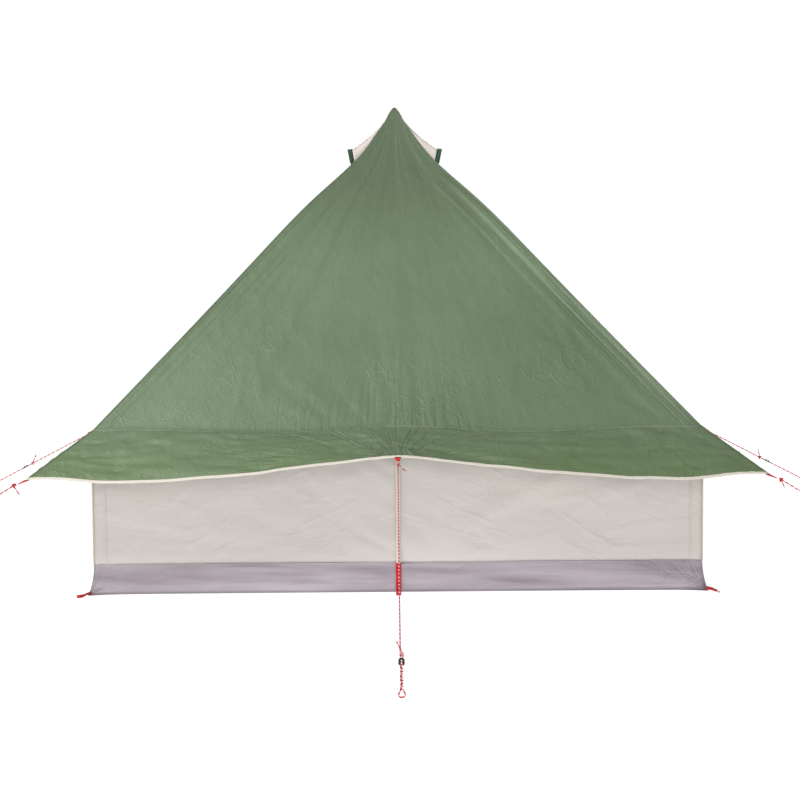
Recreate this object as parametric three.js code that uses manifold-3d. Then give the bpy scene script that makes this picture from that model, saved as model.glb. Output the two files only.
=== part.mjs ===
// A square teepee tent: one centre pole, a door frame, four low walls and a pitched fly with a flared eave.
// Millimetres, +Z up. The origin is on the ground under the peak. The door faces +Y and the back faces -Y.
import * as THREE from "three";
import Module from "manifold-3d";
import { mergeVertices } from "three/addons/utils/BufferGeometryUtils.js";

const manifold = await Module();
manifold.setup();

// Driving dimensions
const FLOOR_HALF = 1503;        // outer face of the groundsheet's upstand
const FLOOR_HEIGHT = 150;       // the groundsheet turns up this far
const FLOOR_THICKNESS = 3;
const WALL_INNER = 1500;        // inner face of a wall
const WALL_THICKNESS = 2;
const WALL_OUTER = WALL_INNER + WALL_THICKNESS;
const WALL_TOP = 802;
const FABRIC = 2.5;             // thickness given to a layer of fabric
const SEAM_HALF = 1490;         // the roof meets the eave here
const SEAM_Z = 820;
const PEAK_Z = 2560;            // where the four roof faces would meet
const EAVE_HALF = 1765;         // corners of the eave
const CORNER_Z = 600;
const HEM_MID_Z = 697;          // each side's hem rises to its guyline
const HEM_LOW_Z = 577;
const HEM_LOW_AT = 0.68;        // fraction of the half side where the hem is lowest
const GAP = 0.4;                // between pieces that meet
const DOOR_Y = 1501;            // middle of the door leaves
const DOOR_HALF = 600;          // the leaves' hinge lines meet the ground here
const DOOR_PEAK_Z = 1700;       // and each other here
const FRAME_Y = 1482;           // plane of the door frame
const DORMER_HALF = 680;
const DORMER_Z = 1800;
const FRAME_HALF = 662;         // parallel to the canopy, under it
const FRAME_PEAK_Z = (FRAME_HALF * DORMER_Z) / DORMER_HALF;
const DORMER_LIP_Y = 1560;
const FRONT_WALL_TOP = 1660;    // the front walls run up beside the door to here
const SWEEP = { x: 402, y: 1556, z: 776, beside: 16 };  // the front eave's end beside the door
const LEAF = { lowZ: 156, topZ: 1650, centre: 1 };
const ZIP_TAPE = { width: 15, thickness: 1.2, low: 164, high: 1580 };
const SLIDER = { left: -14, right: -1.5, low: 168, high: 196, depth: 5 };
const PULL = { left: -11, right: -4.5, out: 1.5, depth: 2, below: 6, over: 4 };
const CENTRE_POLE_R = 15;
const POLE_WALL = 1.4;
const POLE_SECTION = 822;       // each of the centre pole's three tubes
const SPIGOT = 80;              // goes up into the next tube
const SHOULDER = 10;            // a tube narrows to its spigot over this height
const FOOT = { top: 34, flange: 22, flangeTop: 10, neck: 17 };
const DOOR_POLE_R = 8;
const DOOR_POLE_TOP = 1672;
const VENT = { topZ: 2440, topHalf: 50, lowZ: 2300, lowHalf: 130 };
const HOOD = { out: 66, topZ: 2497, topHalf: 62, lowOut: 255, lowZ: 2310, lowHalf: 165 };
const PROP = { length: 38, width: 30, thickness: 2 };
const CAP = { half: 58, rise: 12, thickness: 3 };
const WEBBING = { width: 28, thickness: 1.8 };
const TAB = { width: 25, thickness: 2 };
const LOOP = { length: 95, shoulder: 62, bevel: 88, nose: 8, z: 4, thickness: 2 };
const EYE = { near: 44, wideEnd: 64, far: 80, half: 8, farHalf: 3 };
const CORD_R = 3;
const CORD_SIDES = 8;
const STRAND_GAP = 9;           // between a guyline's two strands
const PEG_TURN_R = 12;          // the line turns round its peg
const PEG_Z = 5;
const RUNNER = { length: 44, width: 21, depth: 12, holeR: 3.6, tail: 26 };
const SIDE_LINES = {            // distance of the peg, and the runner's place along the line
  back: { peg: 3500, share: 0.88 },
  left: { peg: 3120, share: 0.295 },
  right: { peg: 3120, share: 0.295 },
};
const CORNER_LINE = { peg: 2700, share: 0.4 };

const ROOF_SLOPE = (PEAK_Z - SEAM_Z) / SEAM_HALF;
const roofZ = (out) => PEAK_Z - ROOF_SLOPE * out;
const hingeX = (z) => DOOR_HALF * (1 - z / DOOR_PEAK_Z);
const frameX = (z) => FRAME_HALF * (1 - z / FRAME_PEAK_Z);
const dormerX = (z) => DORMER_HALF * (1 - z / DORMER_Z);
const V = (x, y, z) => new THREE.Vector3(x, y, z);

// Materials
function paint(color, roughness, metalness = 0) {
  return new THREE.MeshStandardMaterial({ color, roughness, metalness });
}

const FLY = paint(0x7d8f72, 0.8);
const EAVE = paint(0x8a9c78, 0.8);
const CREAM = paint(0xe6e0cf, 0.85);
const FLOOR = paint(0x8f878d, 0.75);
const RED = paint(0xb3262c, 0.8);
const STEEL = paint(0xb9bcc0, 0.35, 0.9);
const PLASTIC = paint(0x1d1d1f, 0.5);
const CORD = paint(0x9a2f35, 0.8);
const MESH = paint(0x3b3d3c, 0.9);
const STRIP = paint(0x2f5a4c, 0.8);
const ZIP = paint(0x2b2c2d, 0.6);

const tent = new THREE.Group();

function add(name, geometry, material) {
  const mesh = new THREE.Mesh(geometry, material);
  mesh.name = name;
  tent.add(mesh);
  return mesh;
}

// A closed geometry from shared points and triangles, turned to face out.
function solid(points, triangles) {
  let volume = 0;
  for (const [a, b, c] of triangles) {
    volume += points[a].dot(points[b].clone().cross(points[c]));
  }
  const faces = volume < 0 ? triangles.map(([a, b, c]) => [a, c, b]) : triangles;
  const geometry = new THREE.BufferGeometry();
  geometry.setAttribute("position", new THREE.Float32BufferAttribute(points.flatMap((p) => p.toArray()), 3));
  geometry.setIndex(faces.flat());
  return geometry;
}

// Fabric over a grid of points, given its thickness by the offset "under".
function gridSheet(rows, under) {
  const count = rows[0].length;
  const outer = rows.flat();
  const points = [...outer, ...outer.map((p) => p.clone().add(under))];
  const at = (r, c) => r * count + c;
  const faces = [];
  const quad = (a, b, c, d) => faces.push([a, b, c], [a, c, d]);
  const n = outer.length;
  for (let r = 0; r + 1 < rows.length; r++) {
    for (let c = 0; c + 1 < count; c++) {
      quad(at(r, c), at(r, c + 1), at(r + 1, c + 1), at(r + 1, c));
      quad(n + at(r, c), n + at(r + 1, c), n + at(r + 1, c + 1), n + at(r, c + 1));
    }
  }
  const rim = [];
  for (let c = 0; c < count; c++) rim.push(at(0, c));
  for (let r = 1; r < rows.length; r++) rim.push(at(r, count - 1));
  for (let c = count - 2; c >= 0; c--) rim.push(at(rows.length - 1, c));
  for (let r = rows.length - 2; r > 0; r--) rim.push(at(r, 0));
  rim.forEach((a, i) => {
    const b = rim[(i + 1) % rim.length];
    quad(b, a, n + a, n + b);
  });
  return solid(points, faces);
}

// A flat panel with the given outline and holes, given its thickness by the offset "under".
function panel(outline, under, holes = []) {
  const along = outline[1].clone().sub(outline[0]).normalize();
  const normal = along.clone().cross(outline[2].clone().sub(outline[1])).normalize();
  const across = normal.clone().cross(along);
  const flat = (ring) => ring.map((p) => new THREE.Vector2(p.dot(along), p.dot(across)));
  const rings = [outline, ...holes];
  const top = THREE.ShapeUtils.triangulateShape(flat(outline), holes.map(flat));
  const outer = rings.flat();
  const n = outer.length;
  const points = [...outer, ...outer.map((p) => p.clone().add(under))];
  const faces = [...top, ...top.map(([a, b, c]) => [n + a, n + c, n + b])];
  const area = top.reduce((sum, [a, b, c]) => {
    const [p, q, r] = [a, b, c].map((i) => flat([outer[i]])[0]);
    return sum + (q.x - p.x) * (r.y - p.y) - (r.x - p.x) * (q.y - p.y);
  }, 0);
  let first = 0;
  rings.forEach((ring, k) => {
    const turn = THREE.ShapeUtils.isClockWise(flat(ring)) ? -1 : 1;
    const forward = (area > 0) === (turn * (k ? -1 : 1) > 0);
    ring.forEach((_, i) => {
      const a = first + i;
      const b = first + ((i + 1) % ring.length);
      const [p, q] = forward ? [b, a] : [a, b];
      faces.push([p, q, n + q], [p, n + q, n + p]);
    });
    first += ring.length;
  });
  return solid(points, faces);
}

// A round bar along a route of points, each of which is a station of the bar.
class Route extends THREE.Curve {
  constructor(points) {
    super();
    this.points = points;
  }

  getPoint(t) {
    const place = t * (this.points.length - 1);
    const i = Math.min(Math.floor(place), this.points.length - 2);
    return this.points[i].clone().lerp(this.points[i + 1], place - i);
  }

  getUtoTmapping(u) {
    return u;
  }
}

function bar(points, radius, sides) {
  const section = new THREE.Shape();
  for (let i = 0; i < sides; i++) {
    const turn = (2 * Math.PI * i) / sides;
    const move = i ? "lineTo" : "moveTo";
    section[move](radius * Math.cos(turn), radius * Math.sin(turn));
  }
  const options = { steps: points.length - 1, extrudePath: new Route(points), bevelEnabled: false };
  return new THREE.ExtrudeGeometry(section, options);
}

// A turned solid about the Z axis. Four sides make a square pyramid or tray, with faces at +-X and +-Y.
function turned(profile, sides = 24) {
  const square = sides === 4;
  const widen = square ? Math.SQRT2 : 1;
  const points = profile.map(([r, z]) => new THREE.Vector2(r * widen, z));
  const geometry = new THREE.LatheGeometry(points, sides, square ? Math.PI / 4 : 0);
  return geometry.rotateX(Math.PI / 2);
}

function block(low, high) {
  const size = high.map((h, i) => h - low[i]);
  const middle = high.map((h, i) => (h + low[i]) / 2);
  return new THREE.BoxGeometry(...size).translate(...middle);
}

// Two geometries joined into one body.
function joined(a, b) {
  const asSolid = (geometry) => {
    const bare = geometry.clone();
    bare.deleteAttribute("normal");
    bare.deleteAttribute("uv");
    const merged = mergeVertices(bare, 1e-3);
    const mesh = new manifold.Mesh({
      numProp: 3,
      vertProperties: new Float32Array(merged.attributes.position.array),
      triVerts: new Uint32Array(merged.index.array),
    });
    return new manifold.Manifold(mesh);
  };
  const result = asSolid(a).add(asSolid(b)).getMesh();
  const geometry = new THREE.BufferGeometry();
  geometry.setAttribute("position", new THREE.BufferAttribute(result.vertProperties, 3));
  geometry.setIndex(new THREE.BufferAttribute(result.triVerts, 1));
  return geometry;
}

// The four sides of the tent: each piece is drawn on the back (-Y) and turned into place.
const SIDES = { back: 0, right: Math.PI / 2, front: Math.PI, left: -Math.PI / 2 };
const down = V(0, 0, -FABRIC);

function addGroundsheet() {
  const inner = FLOOR_HALF - FLOOR_THICKNESS;
  const profile = [
    [0, 0],
    [FLOOR_HALF, 0],
    [FLOOR_HALF, FLOOR_HEIGHT],
    [inner, FLOOR_HEIGHT],
    [inner, FLOOR_THICKNESS],
    [0, FLOOR_THICKNESS],
  ];
  add("groundsheet", turned(profile, 4), FLOOR);
}

function addWalls() {
  const low = FLOOR_HEIGHT + GAP;
  const short = WALL_INNER - GAP;
  add("wall_back", block([-WALL_OUTER, -WALL_OUTER, low], [WALL_OUTER, -WALL_INNER, WALL_TOP]), CREAM);
  add("wall_left", block([-WALL_OUTER, -short, low], [-WALL_INNER, short, WALL_TOP]), CREAM);
  add("wall_right", block([WALL_INNER, -short, low], [WALL_OUTER, short, WALL_TOP]), CREAM);
  // Each front wall runs from its corner to the door, and on up the door's edge to the canopy.
  const doorGap = 3;
  const canopyGap = 9;
  const beside = (z) => hingeX(z) + doorGap;
  const underCanopy = (z) => dormerX(z) - canopyGap;
  const shape = [
    [WALL_OUTER, low],
    [beside(low), low],
    [beside(FRONT_WALL_TOP), FRONT_WALL_TOP],
    [underCanopy(FRONT_WALL_TOP), FRONT_WALL_TOP],
    [underCanopy(WALL_TOP), WALL_TOP],
    [WALL_OUTER, WALL_TOP],
  ];
  for (const [name, hand] of [["left", -1], ["right", 1]]) {
    const outline = shape.map(([x, z]) => V(hand * x, WALL_OUTER, z));
    add(`wall_front_${name}`, panel(outline, V(0, -WALL_THICKNESS, 0)), CREAM);
  }
}

function addRoof() {
  const collar = 28;
  const notchGap = 6;
  const face = (x, out) => V(x, -out, roofZ(out));
  const outline = [
    face(-SEAM_HALF + GAP, SEAM_HALF),
    face(SEAM_HALF - GAP, SEAM_HALF),
    face(collar - GAP, collar),
    face(-collar + GAP, collar),
  ];
  const outAt = (z) => (PEAK_Z - z) / ROOF_SLOPE;
  const vent = [
    face(-VENT.lowHalf, outAt(VENT.lowZ)),
    face(VENT.lowHalf, outAt(VENT.lowZ)),
    face(VENT.topHalf, outAt(VENT.topZ)),
    face(-VENT.topHalf, outAt(VENT.topZ)),
  ];
  const notchTop = outAt(DORMER_Z) - notchGap;
  const notchHalf = dormerX(SEAM_Z) + notchGap;
  const notched = [
    outline[0],
    face(-notchHalf, SEAM_HALF),
    face(0, notchTop),
    face(notchHalf, SEAM_HALF),
    ...outline.slice(1),
  ];
  add("roof_back", panel(outline, down), FLY);
  add("roof_front", panel(notched, down).rotateZ(SIDES.front), FLY);
  for (const name of ["left", "right"]) {
    add(`roof_${name}`, panel(outline, down, [vent]).rotateZ(SIDES[name]), FLY);
    addVent(name, vent);
  }
}

// A vent near the peak: a mesh window, a hinged hood over it and a strip that props the hood open.
function addVent(name, opening) {
  const shrink = 0.985;
  const meshThickness = 1.5;
  const hoodThickness = 2;
  const middle = opening.reduce((sum, p) => sum.add(p), V(0, 0, 0)).divideScalar(opening.length);
  const window = opening.map((p) => middle.clone().lerp(p, shrink));
  add(`vent_mesh_${name}`, panel(window, V(0, 0, -meshThickness)).rotateZ(SIDES[name]), MESH);
  const hood = [
    V(-HOOD.topHalf, -HOOD.out, HOOD.topZ),
    V(HOOD.topHalf, -HOOD.out, HOOD.topZ),
    V(HOOD.lowHalf, -HOOD.lowOut, HOOD.lowZ),
    V(-HOOD.lowHalf, -HOOD.lowOut, HOOD.lowZ),
  ];
  add(`vent_hood_${name}`, panel(hood, V(0, 0, hoodThickness)).rotateZ(SIDES[name]), CREAM);
  const half = PROP.width / 2;
  const top = HOOD.lowZ - 1;
  const prop = block(
    [-half, -HOOD.lowOut, top - PROP.length],
    [half, -HOOD.lowOut + PROP.thickness, top],
  );
  add(`vent_prop_${name}`, prop.rotateZ(SIDES[name]), STRIP);
}

// The door canopy: a folded sheet from the front roof face to the door frame, open underneath.
function addDormer() {
  const ridgeBack = (PEAK_Z - DORMER_Z) / ROOF_SLOPE + 12;
  const lipZ = 792;
  const steps = 6;
  const drop = FABRIC / Math.sin(Math.atan(DORMER_HALF / DORMER_Z));
  const section = (y, lowZ) => [V(-dormerX(lowZ), y, lowZ), V(0, y, DORMER_Z), V(dormerX(lowZ), y, lowZ)];
  const rows = [];
  for (let i = 0; i < steps; i++) {
    const y = THREE.MathUtils.lerp(ridgeBack, SEAM_HALF, i / (steps - 1));
    rows.push(section(y, roofZ(y) + 1));
  }
  rows.push(section(DORMER_LIP_Y, lipZ));
  add("door_canopy", gridSheet(rows, V(0, 0, -drop)), FLY);
}

// Height of a side's hem at u, from -1 at one corner to 1 at the other.
function hemZ(u) {
  const side = Math.abs(u);
  const curve = 1.2;
  if (side < HEM_LOW_AT) {
    return HEM_LOW_Z + (HEM_MID_Z - HEM_LOW_Z) * Math.pow(1 - side / HEM_LOW_AT, curve);
  }
  return THREE.MathUtils.lerp(HEM_LOW_Z, CORNER_Z, (side - HEM_LOW_AT) / (1 - HEM_LOW_AT));
}

function addEaves() {
  const steps = 24;
  const seamOut = SEAM_HALF + GAP;
  const seam = [];
  const hem = [];
  for (let i = 0; i <= steps; i++) {
    const u = -1 + (2 * i) / steps;
    seam.push(V(u * SEAM_HALF, -seamOut, SEAM_Z));
    hem.push(V(u * (EAVE_HALF - GAP), -EAVE_HALF, hemZ(u)));
  }
  for (const name of ["back", "left", "right"]) {
    add(`eave_${name}`, gridSheet([seam, hem], down).rotateZ(SIDES[name]), EAVE);
  }
  // The front eave is in two halves, and each sweeps up to the canopy beside the door.
  const half = steps / 2;
  const seamEnd = dormerX(SEAM_Z) + SWEEP.beside;
  for (const [name, hand] of [["left", -1], ["right", 1]]) {
    const top = [];
    const low = [];
    for (let i = 0; i <= half; i++) {
      const t = i / half;
      const sweep = t * t * t;
      top.push(V(hand * THREE.MathUtils.lerp(SEAM_HALF, seamEnd, t), seamOut, SEAM_Z));
      low.push(V(
        hand * THREE.MathUtils.lerp(EAVE_HALF - GAP, SWEEP.x, t),
        THREE.MathUtils.lerp(EAVE_HALF, SWEEP.y, sweep),
        THREE.MathUtils.lerp(CORNER_Z, SWEEP.z, sweep),
      ));
    }
    add(`eave_front_${name}`, gridSheet([top, low], down), EAVE);
  }
}

function addPeakCap() {
  const fall = ROOF_SLOPE * CAP.half;
  const top = PEAK_Z + CAP.rise;
  const under = top - CAP.thickness;
  add("peak_cap", turned([[0, under], [CAP.half, under - fall], [CAP.half, top - fall], [0, top]], 4), EAVE);
}

// The centre pole: three tubes, each with a spigot that goes up into the next, on a rubber foot.
function addCentrePole() {
  const bore = CENTRE_POLE_R - POLE_WALL;
  const neck = bore - GAP;
  const neckBore = neck - POLE_WALL;
  const sole = FLOOR_THICKNESS + GAP;
  const foot = [
    [0, sole],
    [FOOT.flange, sole],
    [FOOT.flange, FOOT.flangeTop],
    [FOOT.neck, FOOT.top - GAP],
    [0, FOOT.top - GAP],
  ];
  add("pole_foot", turned(foot), PLASTIC);
  ["lower", "middle", "upper"].forEach((name, i) => {
    const low = FOOT.top + i * POLE_SECTION;
    const shoulder = low + POLE_SECTION - SHOULDER - GAP;
    const spigotLow = shoulder + SHOULDER;
    const spigot = [
      [neck, spigotLow],
      [neck, spigotLow + SPIGOT],
      [neckBore, spigotLow + SPIGOT],
      [neckBore, spigotLow],
    ];
    const profile = [
      [CENTRE_POLE_R, low],
      [CENTRE_POLE_R, shoulder],
      ...(name === "upper" ? [] : spigot),
      [bore, shoulder],
      [bore, low],
      [CENTRE_POLE_R, low],
    ];
    add(`pole_${name}`, turned(profile), STEEL);
  });
  const top = FOOT.top + 3 * POLE_SECTION - SHOULDER;
  const collar = top + 22;
  const tip = [
    [0, top],
    [CENTRE_POLE_R, top],
    [CENTRE_POLE_R, collar],
    [11, collar + 12],
    [6, collar + 18],
    [0, collar + 20],
  ];
  add("pole_tip", turned(tip), PLASTIC);
}

// The door frame: two straight poles and the bent connector that joins them at the top.
function addDoorFrame() {
  const lowZ = FLOOR_THICKNESS + GAP + 4;
  const sides = 12;
  for (const [name, hand] of [["left", -1], ["right", 1]]) {
    const ends = [lowZ, DOOR_POLE_TOP].map((z) => V(hand * frameX(z), FRAME_Y, z));
    add(`door_pole_${name}`, bar(ends, DOOR_POLE_R, sides), STEEL);
  }
  const start = DOOR_POLE_TOP + 1;
  const bend = new THREE.QuadraticBezierCurve3(
    V(-frameX(start), FRAME_Y, start),
    V(0, FRAME_Y, FRAME_PEAK_Z),
    V(frameX(start), FRAME_Y, start),
  );
  const socketWall = 2;
  add("door_pole_elbow", bar(bend.getPoints(sides), DOOR_POLE_R + socketWall, sides), PLASTIC);
}

// Two door leaves on slanted hinge lines, with half of the zip on each and its slider on the left.
function addDoor() {
  const face = DOOR_Y + WALL_THICKNESS / 2;
  const tapeFace = face + GAP;
  for (const [name, hand] of [["left", -1], ["right", 1]]) {
    const outline = [
      [hingeX(LEAF.lowZ), LEAF.lowZ],
      [LEAF.centre, LEAF.lowZ],
      [LEAF.centre, LEAF.topZ],
      [hingeX(LEAF.topZ), LEAF.topZ],
    ].map(([x, z]) => V(hand * x, face, z));
    add(`door_leaf_${name}`, panel(outline, V(0, -WALL_THICKNESS, 0)), CREAM);
    const [near, far] = [hand * LEAF.centre, hand * (LEAF.centre + ZIP_TAPE.width)].sort((a, b) => a - b);
    const tape = block([near, tapeFace, ZIP_TAPE.low], [far, tapeFace + ZIP_TAPE.thickness, ZIP_TAPE.high]);
    add(`zip_tape_${name}`, tape, ZIP);
  }
  const out = tapeFace + ZIP_TAPE.thickness + GAP;
  const body = block([SLIDER.left, out, SLIDER.low], [SLIDER.right, out + SLIDER.depth, SLIDER.high]);
  const pull = block(
    [PULL.left, out + PULL.out, SLIDER.low - PULL.below],
    [PULL.right, out + PULL.out + PULL.depth, SLIDER.low + PULL.over],
  );
  add("zip_slider", joined(body, pull), ZIP);
}

// A flat loop of webbing, its root at the origin, pointing along +X, with an eye for a peg.
function pegLoop() {
  const half = WEBBING.width / 2 - GAP;
  const ring = (path, points) => {
    points.forEach(([x, y], i) => path[i ? "lineTo" : "moveTo"](x, y));
    path.closePath();
    return path;
  };
  const outline = ring(new THREE.Shape(), [
    [0, -half],
    [LOOP.shoulder, -half],
    [LOOP.bevel, -LOOP.nose],
    [LOOP.length, 0],
    [LOOP.bevel, LOOP.nose],
    [LOOP.shoulder, half],
    [0, half],
  ]);
  outline.holes.push(ring(new THREE.Path(), [
    [EYE.near, -EYE.half],
    [EYE.near, EYE.half],
    [EYE.wideEnd, EYE.half],
    [EYE.far, EYE.farHalf],
    [EYE.far, -EYE.farHalf],
    [EYE.wideEnd, -EYE.half],
  ]));
  const options = { depth: LOOP.thickness, bevelEnabled: false, steps: 1 };
  return new THREE.ExtrudeGeometry(outline, options).translate(0, 0, LOOP.z);
}

// Straps down the middles of the sides, each ending in a loop, and a loop at each corner.
function addPegLoops() {
  const half = WEBBING.width / 2;
  const face = FLOOR_HALF + GAP;
  const strapLow = LOOP.z + LOOP.thickness / 2;
  for (const name of ["back", "left", "right"]) {
    const strap = block([-half, -face - WEBBING.thickness, strapLow], [half, -face, FLOOR_HEIGHT]);
    const loop = pegLoop().rotateZ(-Math.PI / 2).translate(0, -face - GAP, 0);
    add(`peg_strap_${name}`, joined(strap, loop).rotateZ(SIDES[name]), RED);
  }
  const corner = face * Math.SQRT2;
  const turns = { back_left: -135, back_right: -45, front_right: 45, front_left: 135 };
  for (const [name, degrees] of Object.entries(turns)) {
    const loop = pegLoop().translate(corner, 0, 0).rotateZ(THREE.MathUtils.degToRad(degrees));
    add(`peg_loop_${name}`, loop, RED);
  }
}

// A tab of webbing on the hem, its root at "from" and its end at "to".
function tab(from, to) {
  const along = to.clone().sub(from).setZ(0).normalize();
  const across = V(-along.y, along.x, 0).multiplyScalar(TAB.width / 2);
  const row = (p) => [p.clone().sub(across), p.clone().add(across)];
  return gridSheet([row(from), row(to)], V(0, 0, -TAB.thickness));
}

// A guyline starts at its tab, runs through its runner to a peg, turns round it and comes back to the
// runner. "from" is the tab's end, "peg" the far end of the line and "share" the runner's place on it.
function guyline(name, from, peg, share) {
  const along = peg.clone().sub(from).normalize();
  const across = V(-along.y, along.x, 0).normalize();
  const length = from.distanceTo(peg);
  const at = (distance, side) => from.clone().addScaledVector(along, distance).addScaledVector(across, side);
  const middle = length * share;
  const spread = PEG_TURN_R - STRAND_GAP / 2;
  const parallel = length - 70;   // the strands lie side by side up to here
  const parted = length - 30;     // and are most of the way apart here
  const points = [at(CORD_R, 0), at(middle, 0), at(parallel, 0), at(parted, -spread * 0.8)];
  for (let degrees = -90; degrees <= 90; degrees += 22.5) {
    const turn = THREE.MathUtils.degToRad(degrees);
    const distance = length - PEG_TURN_R + PEG_TURN_R * Math.cos(turn);
    points.push(at(distance, STRAND_GAP / 2 + PEG_TURN_R * Math.sin(turn)));
  }
  points.push(at(parted, STRAND_GAP + spread * 0.8), at(parallel, STRAND_GAP), at(middle, STRAND_GAP));
  points.push(at(middle - RUNNER.length / 2 - RUNNER.tail, STRAND_GAP));
  add(`guyline_${name}`, bar(points, CORD_R, CORD_SIDES), CORD);
  addRunner(name, at(middle, STRAND_GAP / 2), along, across);
}

// A runner: an oval block with a hole for each strand.
function addRunner(name, place, along, across) {
  const oval = new THREE.Shape();
  const radius = RUNNER.depth / 2;
  const reach = RUNNER.width / 2 - radius;
  oval.absarc(reach, 0, radius, -Math.PI / 2, Math.PI / 2, false);
  oval.absarc(-reach, 0, radius, Math.PI / 2, (3 * Math.PI) / 2, false);
  for (const side of [-1, 1]) {
    const hole = new THREE.Path();
    hole.absarc((side * STRAND_GAP) / 2, 0, RUNNER.holeR, 0, 2 * Math.PI, true);
    oval.holes.push(hole);
  }
  const options = { depth: RUNNER.length, bevelEnabled: false, curveSegments: 8 };
  const geometry = new THREE.ExtrudeGeometry(oval, options).translate(0, 0, -RUNNER.length / 2);
  const runner = add(`runner_${name}`, geometry, PLASTIC);
  const up = along.clone().cross(across);
  runner.applyMatrix4(new THREE.Matrix4().makeBasis(across, up, along).setPosition(place));
}

// Tabs at the fly's corners and at the middle of each hem, with the guylines that start at them.
function addFlyTabs() {
  const corners = { back_left: [-1, -1], back_right: [1, -1], front_left: [-1, 1], front_right: [1, 1] };
  const cornerRoot = EAVE_HALF + 0.6;
  const cornerEnd = EAVE_HALF + 40;
  const cornerFall = 14;
  for (const [name, [sx, sy]] of Object.entries(corners)) {
    const from = V(sx * cornerRoot, sy * cornerRoot, CORNER_Z);
    const to = V(sx * cornerEnd, sy * cornerEnd, CORNER_Z - cornerFall);
    add(`fly_tab_${name}`, tab(from, to), RED);
    if (sy < 0) {
      const start = to.clone().add(V(0, 0, -1));
      guyline(name, start, V(sx * CORNER_LINE.peg, sy * CORNER_LINE.peg, PEG_Z), CORNER_LINE.share);
    }
  }
  const hemEnd = EAVE_HALF + 46;
  const hemFall = 20;
  for (const [name, line] of Object.entries(SIDE_LINES)) {
    const turn = (p) => p.applyAxisAngle(V(0, 0, 1), SIDES[name]);
    const from = turn(V(0, -EAVE_HALF - GAP, HEM_MID_Z));
    const to = turn(V(0, -hemEnd, HEM_MID_Z - hemFall));
    add(`hem_tab_${name}`, tab(from, to), RED);
    const start = to.clone().add(V(0, 0, -1));
    guyline(name, start, turn(V(0, -line.peg, PEG_Z)), line.share);
  }
}

addGroundsheet();
addWalls();
addRoof();
addDormer();
addEaves();
addPeakCap();
addCentrePole();
addDoorFrame();
addDoor();
addPegLoops();
addFlyTabs();

export default tent;
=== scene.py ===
import math

import bmesh
import bpy
import numpy as np
from mathutils import Matrix, Vector


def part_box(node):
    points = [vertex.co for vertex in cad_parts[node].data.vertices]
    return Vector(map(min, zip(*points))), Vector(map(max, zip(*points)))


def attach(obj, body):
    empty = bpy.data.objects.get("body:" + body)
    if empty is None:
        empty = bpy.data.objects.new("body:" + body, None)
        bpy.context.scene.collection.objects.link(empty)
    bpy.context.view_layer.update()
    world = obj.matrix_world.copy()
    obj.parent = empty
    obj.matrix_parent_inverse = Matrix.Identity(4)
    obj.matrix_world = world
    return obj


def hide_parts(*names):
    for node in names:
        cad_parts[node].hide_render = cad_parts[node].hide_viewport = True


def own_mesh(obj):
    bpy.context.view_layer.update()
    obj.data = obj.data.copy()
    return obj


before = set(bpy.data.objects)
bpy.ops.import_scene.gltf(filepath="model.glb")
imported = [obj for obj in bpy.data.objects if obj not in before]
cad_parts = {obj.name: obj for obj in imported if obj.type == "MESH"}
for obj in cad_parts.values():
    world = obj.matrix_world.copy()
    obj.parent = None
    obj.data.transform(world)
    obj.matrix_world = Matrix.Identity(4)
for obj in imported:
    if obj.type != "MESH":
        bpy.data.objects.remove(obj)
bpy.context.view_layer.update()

# ---------------------------------------------------------------- sizes, in metres, from the frame
FABRIC = 0.0025                                     # the CAD's fabric thickness
WALL = abs(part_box("wall_back")[0].y) - 0.001        # half side of the walls
TUB = abs(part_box("groundsheet")[0].y)               # half side of the groundsheet's outer face
TUB_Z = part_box("groundsheet")[1].z
SEAM = abs(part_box("roof_back")[0].y)                # half side where roof meets eave
SEAM_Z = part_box("roof_back")[0].z + FABRIC
PEAK_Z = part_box("peak_cap")[1].z - 0.004
EAVE = abs(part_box("eave_back")[0].y)                # half side of the hem
CORNER_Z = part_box("fly_tab_back_left")[1].z
HEM_MID_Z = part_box("hem_tab_back")[1].z
HEM_LOW_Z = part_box("eave_back")[0].z + FABRIC
CANOPY_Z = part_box("door_canopy")[1].z
CANOPY_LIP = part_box("door_canopy")[1].y
DOOR_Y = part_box("door_leaf_left")[1].y - 0.001

# ---------------------------------------------------------------- sizes chosen here, in metres
CLOTH = 0.0009                                      # thickness of the main sheets
STRIP = 0.0006                                      # thickness of a seam's strip
BINDING = 0.019                                     # width of the hem's binding
WEB = 0.026                                         # width of the webbing
WEB_THICK = 0.0019
CORD_D = 0.006
STRAND_GAP = 0.009                                  # between the two strands of a guyline
TURN_R = 0.012                                      # radius of a guyline's turn round its peg
RUNNER_LENGTH = 0.044
CANOPY_HALF = 0.680                                 # half width that the canopy would have on the ground
CANOPY_FOOT = (0.402, 1.556, 0.776)                 # where the front eave's hem meets the canopy
DOOR_HALF = 0.600                                   # half width of the door's triangle at the ground
DOOR_TOP = 1.700                                    # its apex
DOOR_LEAF = (0.157, 1.650)                          # the leaves' lowest and highest points
FRONT_WALL_TOP = 1.66
WALL_LEAN = 0.022                                   # how far the walls draw in under the seam

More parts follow.
